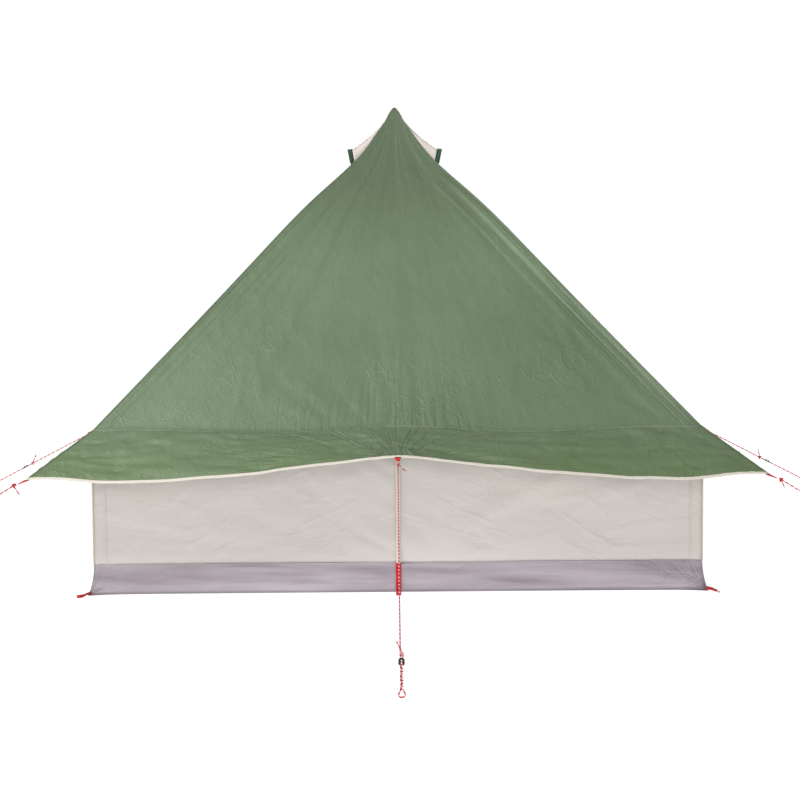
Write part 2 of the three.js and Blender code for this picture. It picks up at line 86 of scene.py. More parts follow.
UP = np.array([0.0, 0.0, 1.0])
OUT = np.array([0.0, -1.0, 0.0])                    # away from the tent, on the back
SIDEWAYS = np.array([1.0, 0.0, 0.0])                # along the side, on the back
SIDES = {"back": 0.0, "right": math.pi / 2, "front": math.pi, "left": -math.pi / 2}
PLAIN_SIDES = ("back", "left", "right")             # those without the door
SEEDS = {"back": 11, "right": 40, "front": 70, "left": 95}
HANDS = (("left", -1), ("right", 1))
CORNERS = {"back_left": (-1, -1), "back_right": (1, -1), "front_left": (-1, 1), "front_right": (1, 1)}
ROOF_ROWS, EAVE_ROWS, COLUMNS = 110, 28, 150        # the fly's grid on each side
FLY_UV = (1.6, 2.2)                                 # the fly's UVs: across a half side, and from peak to seam
VENT = {"top": 0.075, "low": 0.155, "half": 0.52}   # the mesh window, as fractions of the roof face


# ---------------------------------------------------------------- noise and curves
def hashed(ix, iy, seed):
    """A repeatable number from -1 to 1 for each lattice point."""
    n = (ix.astype(np.int64) * 374761393 + iy.astype(np.int64) * 668265263 + seed * 974634777) & 0xFFFFFFFF
    n = ((n ^ (n >> 13)) * 1274126177) & 0xFFFFFFFF
    n = (n ^ (n >> 16)) & 0xFFFF
    return n / 32767.5 - 1.0


def noise(x, y, seed):
    """Smooth 2-D noise, -1 to 1, with features about one unit across."""
    x, y = np.broadcast_arrays(np.asarray(x, float), np.asarray(y, float))
    ix, iy = np.floor(x), np.floor(y)
    fx, fy = x - ix, y - iy
    fx = fx * fx * fx * (fx * (fx * 6 - 15) + 10)
    fy = fy * fy * fy * (fy * (fy * 6 - 15) + 10)
    a, b = hashed(ix, iy, seed), hashed(ix + 1, iy, seed)
    c, d = hashed(ix, iy + 1, seed), hashed(ix + 1, iy + 1, seed)
    return (a + (b - a) * fx) * (1 - fy) + (c + (d - c) * fx) * fy


def creases(x, y, seed, sharp):
    """Lines of crease: 1 on a line, falling off on both sides."""
    return np.maximum(0.0, 1 - sharp * np.abs(noise(x, y, seed))) ** 2


def smooth(low, high, x):
    """0 below low, 1 above high, and a smooth step between."""
    t = np.clip((np.asarray(x, float) - low) / (high - low), 0, 1)
    return t * t * (3 - 2 * t)


def arch(t):
    """0 at both ends of the span from 0 to 1, and 1 in its middle."""
    return np.sin(math.pi * np.clip(t, 0, 1))


def near(distance, reach):
    """1 at no distance, dying away over the reach."""
    return np.exp(-distance / reach)


def turned(points, angle):
    """Points of an (..., 3) array turned about the Z axis."""
    c, s = math.cos(angle), math.sin(angle)
    x, y, z = points[..., 0], points[..., 1], points[..., 2]
    return np.stack([c * x - s * y, s * x + c * y, z], -1)


def unit(vectors):
    return vectors / np.maximum(np.linalg.norm(vectors, axis=-1, keepdims=True), 1e-9)


def run_along(path):
    """The distance from a path's start to each of its points."""
    return np.concatenate([[0], np.cumsum(np.linalg.norm(np.diff(path, axis=0), axis=1))])


def spread(across, down):
    """A grid of (across, down) pairs, one row for each value of down."""
    return np.stack(np.broadcast_arrays(np.asarray(across)[None, :], np.asarray(down)[:, None]), -1)


# ---------------------------------------------------------------- mesh helpers
def new_object(name, verts, faces, uvs=None, flat=False):
    mesh = bpy.data.meshes.new(name)
    mesh.from_pydata([tuple(map(float, v)) for v in verts], [], faces)
    if uvs is not None:
        layer = mesh.uv_layers.new(name="cloth")
        index = np.empty(len(mesh.loops), dtype=np.int64)
        mesh.loops.foreach_get("vertex_index", index)
        layer.data.foreach_set("uv", np.asarray(uvs, float)[index].ravel())
    mesh.validate()
    mesh.polygons.foreach_set("use_smooth", [not flat] * len(mesh.polygons))
    obj = bpy.data.objects.new(name, mesh)
    bpy.context.scene.collection.objects.link(obj)
    return obj


def welded(obj, dist=1e-6):
    """Join points that meet, drop points without a face, and turn the faces one way."""
    bm = bmesh.new()
    bm.from_mesh(obj.data)
    bmesh.ops.remove_doubles(bm, verts=bm.verts, dist=dist)
    bmesh.ops.delete(bm, geom=[v for v in bm.verts if not v.link_faces], context="VERTS")
    bmesh.ops.recalc_face_normals(bm, faces=bm.faces)
    bm.to_mesh(obj.data)
    bm.free()
    return obj


def grid_faces(rows, cols, first=0, wrap=False, flip=False, keep=None):
    faces = []
    for r in range(rows - 1):
        for c in range(cols if wrap else cols - 1):
            if keep is not None and not keep[r, c]:
                continue
            here, below = first + r * cols, first + (r + 1) * cols
            d = (c + 1) % cols
            quad = [here + c, here + d, below + d, below + c]
            faces.append(quad[::-1] if flip else quad)
    return faces


def sheet(name, grids, thickness=CLOTH, weld=1e-5):
    """One cloth from several grids, each (points, uvs[, faces to keep]); edges that meet are joined."""
    verts, uvs, faces = [], [], []
    for points, uv, *keep in grids:
        rows, cols = points.shape[:2]
        faces += grid_faces(rows, cols, len(verts), keep=keep[0] if keep else None)
        verts += list(points.reshape(-1, 3))
        uvs += list(uv.reshape(-1, 2))
    obj = welded(new_object(name, verts, faces, uvs), weld)
    solid = obj.modifiers.new("thickness", "SOLIDIFY")
    solid.thickness = thickness
    solid.offset = -1.0
    return obj


def cross_directions(path):
    """Two directions across a path at each of its points, without twist."""
    tangent = unit(np.gradient(path, axis=0))
    helper = UP if abs(tangent[0][2]) < 0.9 else SIDEWAYS
    side = unit(np.cross(tangent[0], helper))
    sides = [side]
    for t in tangent[1:]:
        side = unit(side - t * np.dot(side, t))
        sides.append(side)
    sides = np.array(sides)
    return sides, np.cross(tangent, sides)


def tube(name, path, radius, sides=10, closed=False):
    """A round tube with UVs in metres along and turns around."""
    path = np.asarray(path, float)
    if closed:
        path = np.vstack([path, path[:1]])
    a, b = cross_directions(path)
    turn = np.linspace(0, 2 * math.pi, sides + 1)
    ring = np.cos(turn)[None, :, None] * a[:, None] + np.sin(turn)[None, :, None] * b[:, None]
    points = path[:, None] + ring * radius
    along = run_along(path)
    rows, cols = points.shape[:2]
    verts = list(points.reshape(-1, 3))
    uvs = [(d, t) for d in along for t in turn / (2 * math.pi)]
    faces = grid_faces(rows, cols, flip=True)
    if not closed:
        for row, flip in ((0, True), (rows - 1, False)):
            verts.append(path[row])
            uvs.append((along[row], 0.5))
            middle = len(verts) - 1
            for c in range(cols - 1):
                pair = [row * cols + c, row * cols + c + 1]
                faces.append([middle, *(pair[::-1] if flip else pair)])
    return welded(new_object(name, verts, faces, uvs))


def ribbon(name, path, across, width, thickness, bulge=0.0):
    """A strap: a flat section swept along a path, with UVs in metres."""
    path = np.asarray(path, float)
    across = np.broadcast_to(np.asarray(across, float), path.shape)
    tangent = unit(np.gradient(path, axis=0))
    across = unit(across - tangent * np.sum(across * tangent, axis=1)[:, None])
    up = np.cross(across, tangent)
    steps = np.linspace(-0.5, 0.5, 7)
    face = [(x, 0.5 * thickness + bulge * (1 - (2 * x) ** 2)) for x in steps]
    back = [(x, -0.5 * thickness + bulge * (1 - (2 * x) ** 2)) for x in steps[::-1]]
    profile = np.array(face + back)
    widths = np.broadcast_to(np.asarray(width, float), (len(path),))
    over = profile[:, 0][None, :] * widths[:, None]
    points = path[:, None] + across[:, None] * over[..., None] + up[:, None] * profile[:, 1][None, :, None]
    uv = np.stack(np.broadcast_arrays(run_along(path)[:, None], over), -1)
    n = len(profile)
    faces = grid_faces(len(path), n, wrap=True, flip=True)
    last = (len(path) - 1) * n
    for i in range(n // 2 - 1):
        faces.append([i, i + 1, n - 2 - i, n - 1 - i])
        faces.append([last + n - 1 - i, last + n - 2 - i, last + i + 1, last + i])
    return welded(new_object(name, points.reshape(-1, 3), faces, uv.reshape(-1, 2)))


def edge_binding(name, edge, inward, outward, width, thickness=0.0022):
    """Tape folded over an edge and stitched: a rounded double ridge outside, a flat back inside."""
    profile = np.array([
        (1.0, 0.3), (0.86, 0.95), (0.62, 1.25), (0.5, 0.75), (0.38, 1.25), (0.12, 1.0), (-0.06, 0.1),
        (0.10, -0.9), (0.5, -1.1), (0.9, -0.9), (1.0, -0.3),
    ]) * (width, thickness)
    rows = np.array([edge + unit(inward) * a + unit(outward) * b for a, b in profile])
    uv = spread(run_along(edge), profile[:, 0])
    n, count = rows.shape[:2]
    faces = []
    for r in range(n):
        here, after = r * count, (r + 1) % n * count
        faces += [[here + c, here + c + 1, after + c + 1, after + c] for c in range(count - 1)]
    faces += [[r * count for r in range(n)], [r * count + count - 1 for r in range(n)][::-1]]
    return welded(new_object(name, rows.reshape(-1, 3), faces, uv.reshape(-1, 2)))


def give(obj, material, body, replaces=()):
    """The piece's material, the body it rides on and the CAD nodes it stands for."""
    obj.data.materials.clear()
    obj.data.materials.append(material)
    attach(obj, body)
    if replaces:
        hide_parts(*replaces)
    return obj


# ---------------------------------------------------------------- node trees
def linear(rgb):
    return [c / 12.92 if c <= 0.04045 else ((c + 0.055) / 1.055) ** 2.4 for c in rgb]


class Field:
    """A value that varies over a surface: an output in a node tree, which takes arithmetic."""

    def __init__(self, nodes, socket):
        self.nodes = nodes
        self.socket = socket

    def __add__(self, other):
        return self.nodes.math("ADD", self, other)

    def __sub__(self, other):
        return self.nodes.math("SUBTRACT", self, other)

    def __rsub__(self, other):
        return self.nodes.math("SUBTRACT", other, self)

    def __mul__(self, other):
        return self.nodes.math("MULTIPLY", self, other)

    def __truediv__(self, other):
        return self.nodes.math("DIVIDE", self, other)

    def __abs__(self):
        return self.nodes.math("ABSOLUTE", self)

    def ramp(self, low, high, to_low=0.0, to_high=1.0):
        """The value carried from one span to another, and held past its ends."""
        span = {"Value": self, "From Min": low, "From Max": high, "To Min": to_low, "To Max": to_high}
        return self.nodes.node("ShaderNodeMapRange", span)


class Nodes:
    """A short way to write a material's node tree."""

    def __init__(self, name):
        self.material = bpy.data.materials.new(name)
        self.material.use_nodes = True
        self.tree = self.material.node_tree
        self.shader = self.tree.nodes["Principled BSDF"]
        coords = self.tree.nodes.new("ShaderNodeTexCoord")
        self.world = Field(self, coords.outputs["Object"])
        self.uv = Field(self, coords.outputs["UV"])

    def put(self, socket, value):
        if isinstance(value, Field):
            self.tree.links.new(value.socket, socket)
        else:
            socket.default_value = value

    def node(self, kind, inputs, output=0, **settings):
        made = self.tree.nodes.new(kind)
        for key, value in settings.items():
            setattr(made, key, value)
        for key, value in inputs.items():
            self.put(made.inputs[key], value)
        return Field(self, made.outputs[output])

    def math(self, kind, a, b=0.0):
        return self.node("ShaderNodeMath", {0: a, 1: b}, operation=kind)

    def split(self, vector):
        """A vector's x, y and z."""
        return [self.node("ShaderNodeSeparateXYZ", {0: vector}, i) for i in range(3)]

    def joined(self, x, y):
        return self.node("ShaderNodeCombineXYZ", {0: x, 1: y})

    def vector(self, kind, a, b):
        return self.node("ShaderNodeVectorMath", {0: a, 1: b}, operation=kind)

    def spun(self, vector, turn):
        return self.node("ShaderNodeMapping", {0: vector, "Rotation": (0, 0, turn)})

    def noise(self, vector, scale=1.0, detail=2.0, rough=0.5, output="Fac"):
        inputs = {"Vector": vector, "Scale": scale, "Detail": detail, "Roughness": rough}
        return self.node("ShaderNodeTexNoise", inputs, output)

    def mix(self, factor, a, b, blend="MIX"):
        a, b = (c if isinstance(c, Field) else [*c, 1.0] for c in (a, b))
        return self.node("ShaderNodeMix", {0: factor, 6: a, 7: b}, 2, data_type="RGBA", blend_type=blend)

    def bump(self, height, strength, distance, normal=None):
        inputs = {"Height": height, "Strength": strength, "Distance": distance}
        if normal is not None:
            inputs["Normal"] = normal
        return self.node("ShaderNodeBump", inputs)

    def finish(self, colour, roughness, normal=None, metallic=0.0, specular=0.5, sheen=0.0):
        values = {"Base Color": colour, "Roughness": roughness, "Metallic": metallic,
                  "Specular IOR Level": specular, "Sheen Weight": sheen}
        if normal is not None:
            values["Normal"] = normal
        for key, value in values.items():
            self.put(self.shader.inputs[key], value)
        return self.material


def stretched(n, vector, *scale):
    return n.vector("MULTIPLY", vector, scale)


def on_line(value, width):
    """1 where a noise value passes through its middle, falling to 0 at the width."""
    return abs(value - 0.5).ramp(0.0, width, 1.0, 0.0)


def polar(n, x, y):
    """Distance from a point and direction out of it."""
    return n.math("SQRT", x * x + y * y), n.math("ARCTAN2", y, x)


# ---------------------------------------------------------------- the cloths' folds, and their painted light and shade
def crease_net(n, scale, squash, reach, low, high):
    """A network of sharp creases, in patches: 1 on a crease and 0 elsewhere. It fades up the roof."""
    place = stretched(n, n.world, *squash)
    shift = n.vector("SUBTRACT", n.noise(place, scale * 0.45, output="Color"), (0.5, 0.5, 0.5))
    place = n.vector("ADD", place, stretched(n, shift, *[1.3 / scale] * 3))
    cells = {"Vector": place, "Scale": scale}
    edge = n.node("ShaderNodeTexVoronoi", cells, "Distance", feature="DISTANCE_TO_EDGE")
    patch = n.noise(n.world, 1.7).ramp(low, high) * n.noise(n.world, scale * 0.9, 1.0).ramp(0.42, 0.60)
    low_down = n.split(n.world)[2].ramp(SEAM_Z + 0.10, SEAM_Z + 0.70, 1.0, 0.12)
    return edge.ramp(0.0, reach, 1.0, 0.0) * patch * low_down


def pulled_lines(n):
    """Soft folds and fine creases that rise from a wall's bottom corners towards its middle."""
    x, z, _ = n.split(n.uv)
    flat = n.joined(n.math("PINGPONG", x, WALL), z)

    def slanted(turn, slow, fast):
        return stretched(n, n.spun(flat, turn), slow, fast, 1.0)

    total = n.noise(slanted(-0.46, 0.5, 3.2)) * 10.0
    for turn, fast, depth in ((-0.52, 6.0, 0.8), (-0.36, 10.0, 0.6), (-0.70, 7.0, 0.5), (-1.35, 9.0, 0.35)):
        line = on_line(n.noise(slanted(turn, 0.9, fast), 1.0, 1.0, 0.4), 0.045)
        patch = n.noise(n.spun(flat, turn), 1.8 + fast * 0.1, 1.0).ramp(0.48, 0.62, 0.0, depth)
        total = line * patch + total
    return total


def fly_folds(n):
    """Creases out of the middle of the hem, pleats above the seam, and long folds beside the ridges."""
    across, down, _ = n.split(n.uv)
    x = across * (SEAM / FLY_UV[0])
    reach, angle = polar(n, x, (4.45 - down) * 0.168)
    near_hem = reach.ramp(0.10, 1.25, 1.0, 0.0)
    rays = on_line(n.noise(n.joined(angle * 7.0, reach)), reach.ramp(0.1, 1.0, 0.045, 0.012)) * 0.8
    radial = (n.noise(n.joined(angle * 12.0, reach)) * 1.6 - rays) * near_hem * down.ramp(1.9, 2.4)
    above_seam = abs(x).ramp(0.05, 0.65, 1.0, 0.0) * down.ramp(1.55, 2.15) * down.ramp(2.22, 2.5, 1.0, 0.0)
    pleats = n.noise(n.joined(x * 21.0, down * 1.6)) * above_seam
    beside = (1.0 - abs(across) / FLY_UV[0]) * down * (SEAM / FLY_UV[1])
    by_ridge = beside.ramp(0.01, 0.17, 1.0, 0.0) * down.ramp(2.2, 2.3, 1.0, 0.0) * down.ramp(0.5, 1.1)
    ridge = n.noise(n.joined(beside * 34.0, down * 0.9)) * by_ridge
    return ridge * 5.0 + (pleats * 3.4 + radial)


def corner_pulls(n):
    """Folds of the groundsheet's sides: they spread from the corners' feet and run along the sides."""
    x, z, _ = n.split(n.uv)
    along = TUB - abs(x)
    reach, angle = polar(n, along, z)
    fan = n.noise(n.joined(angle * 9.0, reach * 0.8), 1.0, 3.0) * reach.ramp(0.06, 0.95, 2.6, 0.0)
    return n.noise(n.joined(along * 1.1, z * 21.0), 1.0, 3.0) * 1.2 + fan


def eave_painted_shading(n, colour):
    """Painted light and shade: towards its hem the eave is painted as if more light came through it, and the
    roof's top is painted darker, as if in its own shade.
    """
    z = n.split(n.world)[2]
    low = z.ramp(SEAM_Z + 0.02, HEM_LOW_Z + 0.08) * n.noise(n.world, 2.2).ramp(0.3, 0.7, 0.60, 0.90)
    high = z.ramp(SEAM_Z + 0.9, PEAK_Z - 0.25, 0.0, 0.75)
    # Painted light: a yellower green towards the hem, in patches
    colour = n.mix(low * 0.70, colour, linear((0.380, 0.46, 0.290)))
    # Painted shade: a darker green at the roof's top
    return n.mix(high, colour, linear((0.325, 0.375, 0.295)))


def groundsheet_painted_shading(n, colour):
    """Painted shade and light: long dark and pale bands along the groundsheet's sides, as painted fold
    shading, and its foot painted darker where it turns under, as a painted contact shadow.
    """
    lie = n.noise(stretched(n, n.world, 1.3, 1.3, 15.0), 1.0, 3.0)
    # Painted fold shading: bands painted darker along the sides
    colour = n.mix(lie.ramp(0.42, 0.66, 0.0, 0.55), colour, linear((0.53, 0.49, 0.515)))
    # and bands painted paler, as painted light on the folds
    colour = n.mix(lie.ramp(0.44, 0.30, 0.0, 0.5), colour, linear((0.75, 0.715, 0.74)))
    # Painted contact shadow: the foot painted darker where the cloth turns under
    foot = n.split(n.world)[2].ramp(0.004, 0.020, 0.60, 0.0)
    return n.mix(foot, colour, linear((0.28, 0.25, 0.27)))


# ---------------------------------------------------------------- materials
def cloth_material(name, rgb, dark, pale, rough=0.62, streak=(14, 14, 1.6), wrinkle=0.6, specular=0.35,
                   painted_shading=None, net=None, shape=None, shape_depth=0.004):
    """Coated woven polyester: broad and streaky colour variation, fine creases and a plain weave."""
    n = Nodes(name)
    streaky = stretched(n, n.world, *streak)
    colour = n.mix(n.noise(n.world, 1.3, 3.0).ramp(0.3, 0.7), linear(dark), linear(pale))
    colour = n.mix(n.noise(streaky, 1.0, 4.0, 0.55).ramp(0.3, 0.7, 0.25, 0.75), colour, linear(rgb))
    speck = n.noise(n.world, 260.0) * 0.10 + 0.95
    grey = n.node("ShaderNodeCombineColor", {"Red": speck, "Green": speck, "Blue": speck})
    colour = n.mix(1.0, colour, grey, "MULTIPLY")
    # Painted light and shade, for the cloths that are given some
    if painted_shading:
        colour = painted_shading(n, colour)
    crumple = n.noise(n.world, 7.0, 3.0, 0.45)
    crease = on_line(n.noise(stretched(n, n.world, 1.0, 1.0, 0.7), 5.0, 3.0), 0.03)
    height = n.noise(streaky, 1.6, 5.0, 0.6) * 0.55 + crumple * 0.2 + crease * 0.05
    normal = n.bump(height, wrinkle, 0.02)
    if net:
        *pattern, net_depth = net
        normal = n.bump(crease_net(n, *pattern), 1.0, net_depth, normal)
    if shape:
        normal = n.bump(shape(n), 1.0, shape_depth, normal)
    threads = n.node("ShaderNodeTexChecker", {"Vector": n.uv, "Scale": 1400.0}, "Fac")
    normal = n.bump(threads, 0.25, 0.0002, normal)
    roughness = crumple.ramp(0.3, 0.7, rough - 0.06, rough + 0.06)
    return n.finish(colour, roughness, normal, specular=specular, sheen=0.05)


def webbing_material(name, rgb):
    """Ribbed polyester webbing: ribs across, a herringbone twill between, darker edges, and painted shade in
    the weave's hollows.
    """
    n = Nodes(name)
    along, across, _ = n.split(n.uv)
    rib = 0.0016
    ribs = n.math("SINE", along * (2 * math.pi / rib))
    twill = n.math("SINE", (along + across) * (math.pi / rib))
    height = ribs + twill * 0.6
    dark = linear([c * 0.55 for c in rgb])
    pale = linear([min(1.0, c * 1.12 + 0.03) for c in rgb])
    colour = n.mix(n.noise(n.world, 60.0, 3.0).ramp(0.3, 0.7), linear(rgb), pale)
    colour = n.mix(abs(across).ramp(0.010, 0.014, 0.0, 0.35), colour, dark)
    # Painted shade: the weave's hollows, where the bump is low, are painted darker
    colour = n.mix(height.ramp(-1.6, 1.6, 0.22, 0.0), colour, dark)
    return n.finish(colour, 0.72, n.bump(height, 0.5, 0.0004), specular=0.3, sheen=0.1)


def cord_material(name, red, white, pitch=0.028):
    """Braided cord: a red braid with white flecks winding round it, and painted shade between its strands."""
    n = Nodes(name)
    along, around, _ = n.split(n.uv)
    wind = along / pitch + around
    back = n.math("FRACT", along / pitch - around)
    strands = [n.math("SINE", way * (8 * math.pi)) for way in (wind, back)]
    height = n.math("MAXIMUM", *strands)
    colour = n.mix(n.math("FRACT", wind).ramp(0.63, 0.67), linear(red), linear(white))
    # Painted shade: the hollows between the strands, where the bump is low, are painted darker
    colour = n.mix(height.ramp(-1.0, 0.8, 0.3, 0.0), colour, linear([c * 0.4 for c in red]))
    return n.finish(colour, 0.7, n.bump(height, 0.5, 0.0005), specular=0.3, sheen=0.1)


def plastic_material(name, rgb, rough=0.42):
    """Moulded plastic: a fine grain and a few smudges."""
    n = Nodes(name)
    smudge = n.noise(n.world, 30.0, 3.0)
    colour = n.mix(smudge.ramp(0.35, 0.65), linear(rgb), linear([c * 1.35 + 0.01 for c in rgb]))
    roughness = smudge.ramp(0.3, 0.7, rough - 0.08, rough + 0.1)
    return n.finish(colour, roughness, n.bump(n.noise(n.world, 900.0), 0.25, 0.0002))


def steel_material(name, rgb):
    """Galvanised steel tube: drawn lines and a faint spangle."""
    n = Nodes(name)
    draw = n.noise(stretched(n, n.world, 90.0, 90.0, 2.0), 1.0, 3.0)
    spangle = n.noise(n.world, 24.0).ramp(0.35, 0.65)
    colour = n.mix(spangle, linear(rgb), linear([c * 0.84 for c in rgb]))
    return n.finish(colour, draw.ramp(0.3, 0.7, 0.26, 0.44), n.bump(draw, 0.15, 0.0003), metallic=0.95)


def mesh_material(name, rgb, step=0.0022):
    """Fine insect mesh: a grid of threads with holes between."""
    n = Nodes(name)
    gaps = [abs(n.math("SINE", way * (math.pi / step))).ramp(0.45, 0.6) for way in n.split(n.uv)[:2]]
    hole = gaps[0] * gaps[1]
    n.put(n.shader.inputs["Alpha"], 1.0 - hole * 0.75)
    return n.finish(n.mix(hole, linear(rgb), linear([c * 0.5 for c in rgb])), 0.8, specular=0.2)


# The fly's colour carries painted light through its eave and painted shade at its top
FLY = cloth_material("fly_cloth", (0.392, 0.462, 0.357), (0.36, 0.43, 0.325), (0.425, 0.495, 0.39),
                     rough=0.50, wrinkle=0.45, painted_shading=eave_painted_shading, shape=fly_folds,
                     net=(15.0, (1, 1, 1), 0.09, 0.42, 0.58, 0.0022))
FLY_PATCH = cloth_material("fly_patch", (0.375, 0.437, 0.345), (0.345, 0.405, 0.315), (0.40, 0.46, 0.37),
                           rough=0.5)
FLY_SEAM = cloth_material("fly_seam", (0.385, 0.447, 0.35), (0.355, 0.415, 0.32), (0.415, 0.475, 0.38),
                          rough=0.55)
# Painted highlight: the eave's seam is painted paler than the fly, so that it shows as a pale line of light
# and its strip's own shade is lifted
EAVE_SEAM = cloth_material("eave_seam", (0.445, 0.505, 0.405), (0.42, 0.48, 0.38), (0.47, 0.53, 0.43),
                           rough=0.6)
CREAM = cloth_material("wall_cloth", (0.80, 0.77, 0.755), (0.78, 0.75, 0.735), (0.82, 0.795, 0.77),
                       rough=0.7, streak=(2.5, 2.5, 9), wrinkle=0.45, specular=0.25,
                       shape=pulled_lines, shape_depth=0.0016)
CREAM_TAPE = cloth_material("cream_tape", (0.83, 0.80, 0.755), (0.80, 0.77, 0.725), (0.86, 0.835, 0.79),
                            rough=0.75, streak=(40, 40, 40), wrinkle=0.3)
SAND = cloth_material("wall_piping", (0.82, 0.78, 0.69), (0.79, 0.75, 0.66), (0.85, 0.81, 0.73), rough=0.75)
HOOD = cloth_material("hood_cloth", (0.80, 0.755, 0.735), (0.77, 0.725, 0.705), (0.83, 0.79, 0.765),
                      rough=0.7, streak=(9, 9, 9), wrinkle=0.35)
# Painted shade: the cheeks are the hood's cream painted a touch darker, for the shaded lower sides of the
# hood
CHEEK = cloth_material("cheek_cloth", (0.79, 0.755, 0.73), (0.765, 0.73, 0.705), (0.815, 0.78, 0.755),
                       rough=0.7, streak=(9, 9, 9), wrinkle=0.35)
# The groundsheet's colour carries painted fold shading and a painted contact shadow at its foot
FLOOR_CLOTH = cloth_material("floor_cloth", (0.665, 0.625, 0.655), (0.63, 0.59, 0.62), (0.70, 0.66, 0.69),
                             rough=0.45, streak=(3, 3, 18), wrinkle=0.8, specular=0.4,
                             painted_shading=groundsheet_painted_shading, shape=corner_pulls,
                             net=(7.0, (1, 1, 1.6), 0.05, 0.4, 0.55, 0.002))
RED = webbing_material("red_webbing", (0.77, 0.07, 0.11))
RED_THREAD = webbing_material("red_thread", (0.45, 0.05, 0.08))
BLUE = webbing_material("blue_bartack", (0.18, 0.42, 0.52))
GREEN_STRIP = webbing_material("green_strip", (0.16, 0.27, 0.19))
GREY_TAPE = webbing_material("grey_tape", (0.42, 0.43, 0.42))
ZIP_TAPE = webbing_material("zip_tape_cloth", (0.25, 0.255, 0.26))
CORD = cord_material("guy_cord", (0.72, 0.02, 0.09), (0.93, 0.78, 0.80))
PLASTIC = plastic_material("black_plastic", (0.075, 0.075, 0.08))
ZIP = plastic_material("zip_plastic", (0.22, 0.225, 0.23), 0.5)
STEEL = steel_material("steel", (0.74, 0.75, 0.77))
MESH = mesh_material("vent_mesh", (0.20, 0.21, 0.205))


# ---------------------------------------------------------------- camera
def place_camera(place, yaw, pitch, roll, lens):
    """The photograph's view. The turns are in degrees: to the left, down and anticlockwise."""
    data = bpy.data.cameras.new("camera")
    camera = bpy.data.objects.new("camera", data)
    bpy.context.scene.collection.objects.link(camera)
    bpy.context.scene.camera = camera
    data.lens = lens
    data.sensor_width = 36.0
    turn = Matrix.Rotation(math.radians(yaw), 4, "Z") @ Matrix.Rotation(math.radians(90 - pitch), 4, "X")
    camera.matrix_world = Matrix.Translation(place) @ turn @ Matrix.Rotation(math.radians(roll), 4, "Z")


place_camera(Vector((-0.018, -8.8, 1.417)), yaw=-0.25, pitch=3.64, roll=-0.42, lens=67.1)

# ---------------------------------------------------------------- guylines
# Where each starts, where its peg stands, and the runner's share of the way, as in the part's source,
# with the turns that its two strands make round each other.
LINES = {
    "back": ((0, -1.811, 0.676), (0, -3.5, 0.005), 0.88, 4),
    "left": ((-1.811, 0, 0.676), (-3.12, 0, 0.005), 0.295, 0),
    "right": ((1.811, 0, 0.676), (3.12, 0, 0.005), 0.295, 0),
    "back_left": ((-1.805, -1.805, 0.585), (-2.7, -2.7, 0.005), 0.4, 0),
    "back_right": ((1.805, -1.805, 0.585), (2.7, -2.7, 0.005), 0.4, 0),
}


def overhand(centre, size, angle):
    """The centre line of a small tied knot."""
    t = np.linspace(0, 2 * math.pi, 48, endpoint=False)
    x = np.sin(t) + 2 * np.sin(2 * t)
    y = np.cos(t) - 2 * np.cos(2 * t)
    z = -np.sin(3 * t) * 0.9
    return turned(np.stack([x, z, y], -1) * size / 3, angle) + centre


def twisted(at, low, high, turns):
    """Two strands that wind round each other between two distances; they start and end side by side."""
    radius = STRAND_GAP / 2
    out, back = [], []
    steps = 12 * turns
    for i in range(1, steps):
        t = i / steps
        angle = 2 * math.pi * turns * t
        r = radius * (1 - 0.14 * min(1.0, 6 * t, 6 * (1 - t)))
        for sign, strand in ((-1, out), (1, back)):
            side = radius + sign * r * math.cos(angle)
            strand.append(at(low + (high - low) * t, side) + UP * sign * r * math.sin(angle))
    return out, back


def guyline(name, start, peg, share, turns):
    """A guyline: out through its runner, round its peg and back to the runner, with its knots."""
    start, peg = np.array(start, float), np.array(peg, float)
    length = np.linalg.norm(peg - start)
    along = (peg - start) / length
    across = unit(np.array([-along[1], along[0], 0.0]))

    def at(distance, side):
        return start + along * distance + across * side

    middle = length * share
    bow = (TURN_R - STRAND_GAP / 2) * 0.8
    parallel, parted = length - 0.046, length - 0.026       # where the strands begin to part for the turn
    runner_end = middle + RUNNER_LENGTH / 2
    back_end = middle - RUNNER_LENGTH / 2 - 0.026
    out, back = twisted(at, runner_end, parallel, turns)
    points = [at(d, 0) for d in np.linspace(0.003, runner_end, 10)] + out
    points += [at(parallel, 0), at(parted, -bow)]
    for angle in np.radians(np.arange(-90, 91, 22.5)):
        side = STRAND_GAP / 2 + TURN_R * math.sin(angle)
        points.append(at(length - TURN_R + TURN_R * math.cos(angle), side))
    points += [at(parted, STRAND_GAP + bow), at(parallel, STRAND_GAP)] + back[::-1]
    points += [at(d, STRAND_GAP) for d in (runner_end, middle, back_end)]
    line = give(tube(f"cord_{name}", points, CORD_D / 2), CORD, "tent", [f"guyline_{name}"])

    angle = math.atan2(along[1], along[0])
    top, end = at(0.006, 0), at(back_end, STRAND_GAP)
    top_tail = across * 0.75 - UP * 0.75 - along * 0.1
    end_tail = UP * 0.8 - across * 0.5 - along * 0.35
    pieces = [
        tube(f"knot_top_{name}", overhand(top, 0.0105, angle), CORD_D / 2, 8, closed=True),
        tube(f"knot_end_{name}", overhand(end, 0.0085, angle), CORD_D / 2, 8, closed=True),
        tube(f"knot_tail_{name}", [top - UP * 0.004 + top_tail * t for t in np.linspace(0, 0.052, 7)],
             CORD_D / 2, 8),
        tube(f"knot_spare_{name}", [end + UP * 0.004 + end_tail * t for t in np.linspace(0, 0.045, 7)],
             CORD_D / 2, 8),
    ]
    for piece in pieces:
        give(piece, CORD, "tent")
    pieces += build_runner(name, along, across, at(middle, STRAND_GAP / 2))
    tuple(at(0.003, 0))


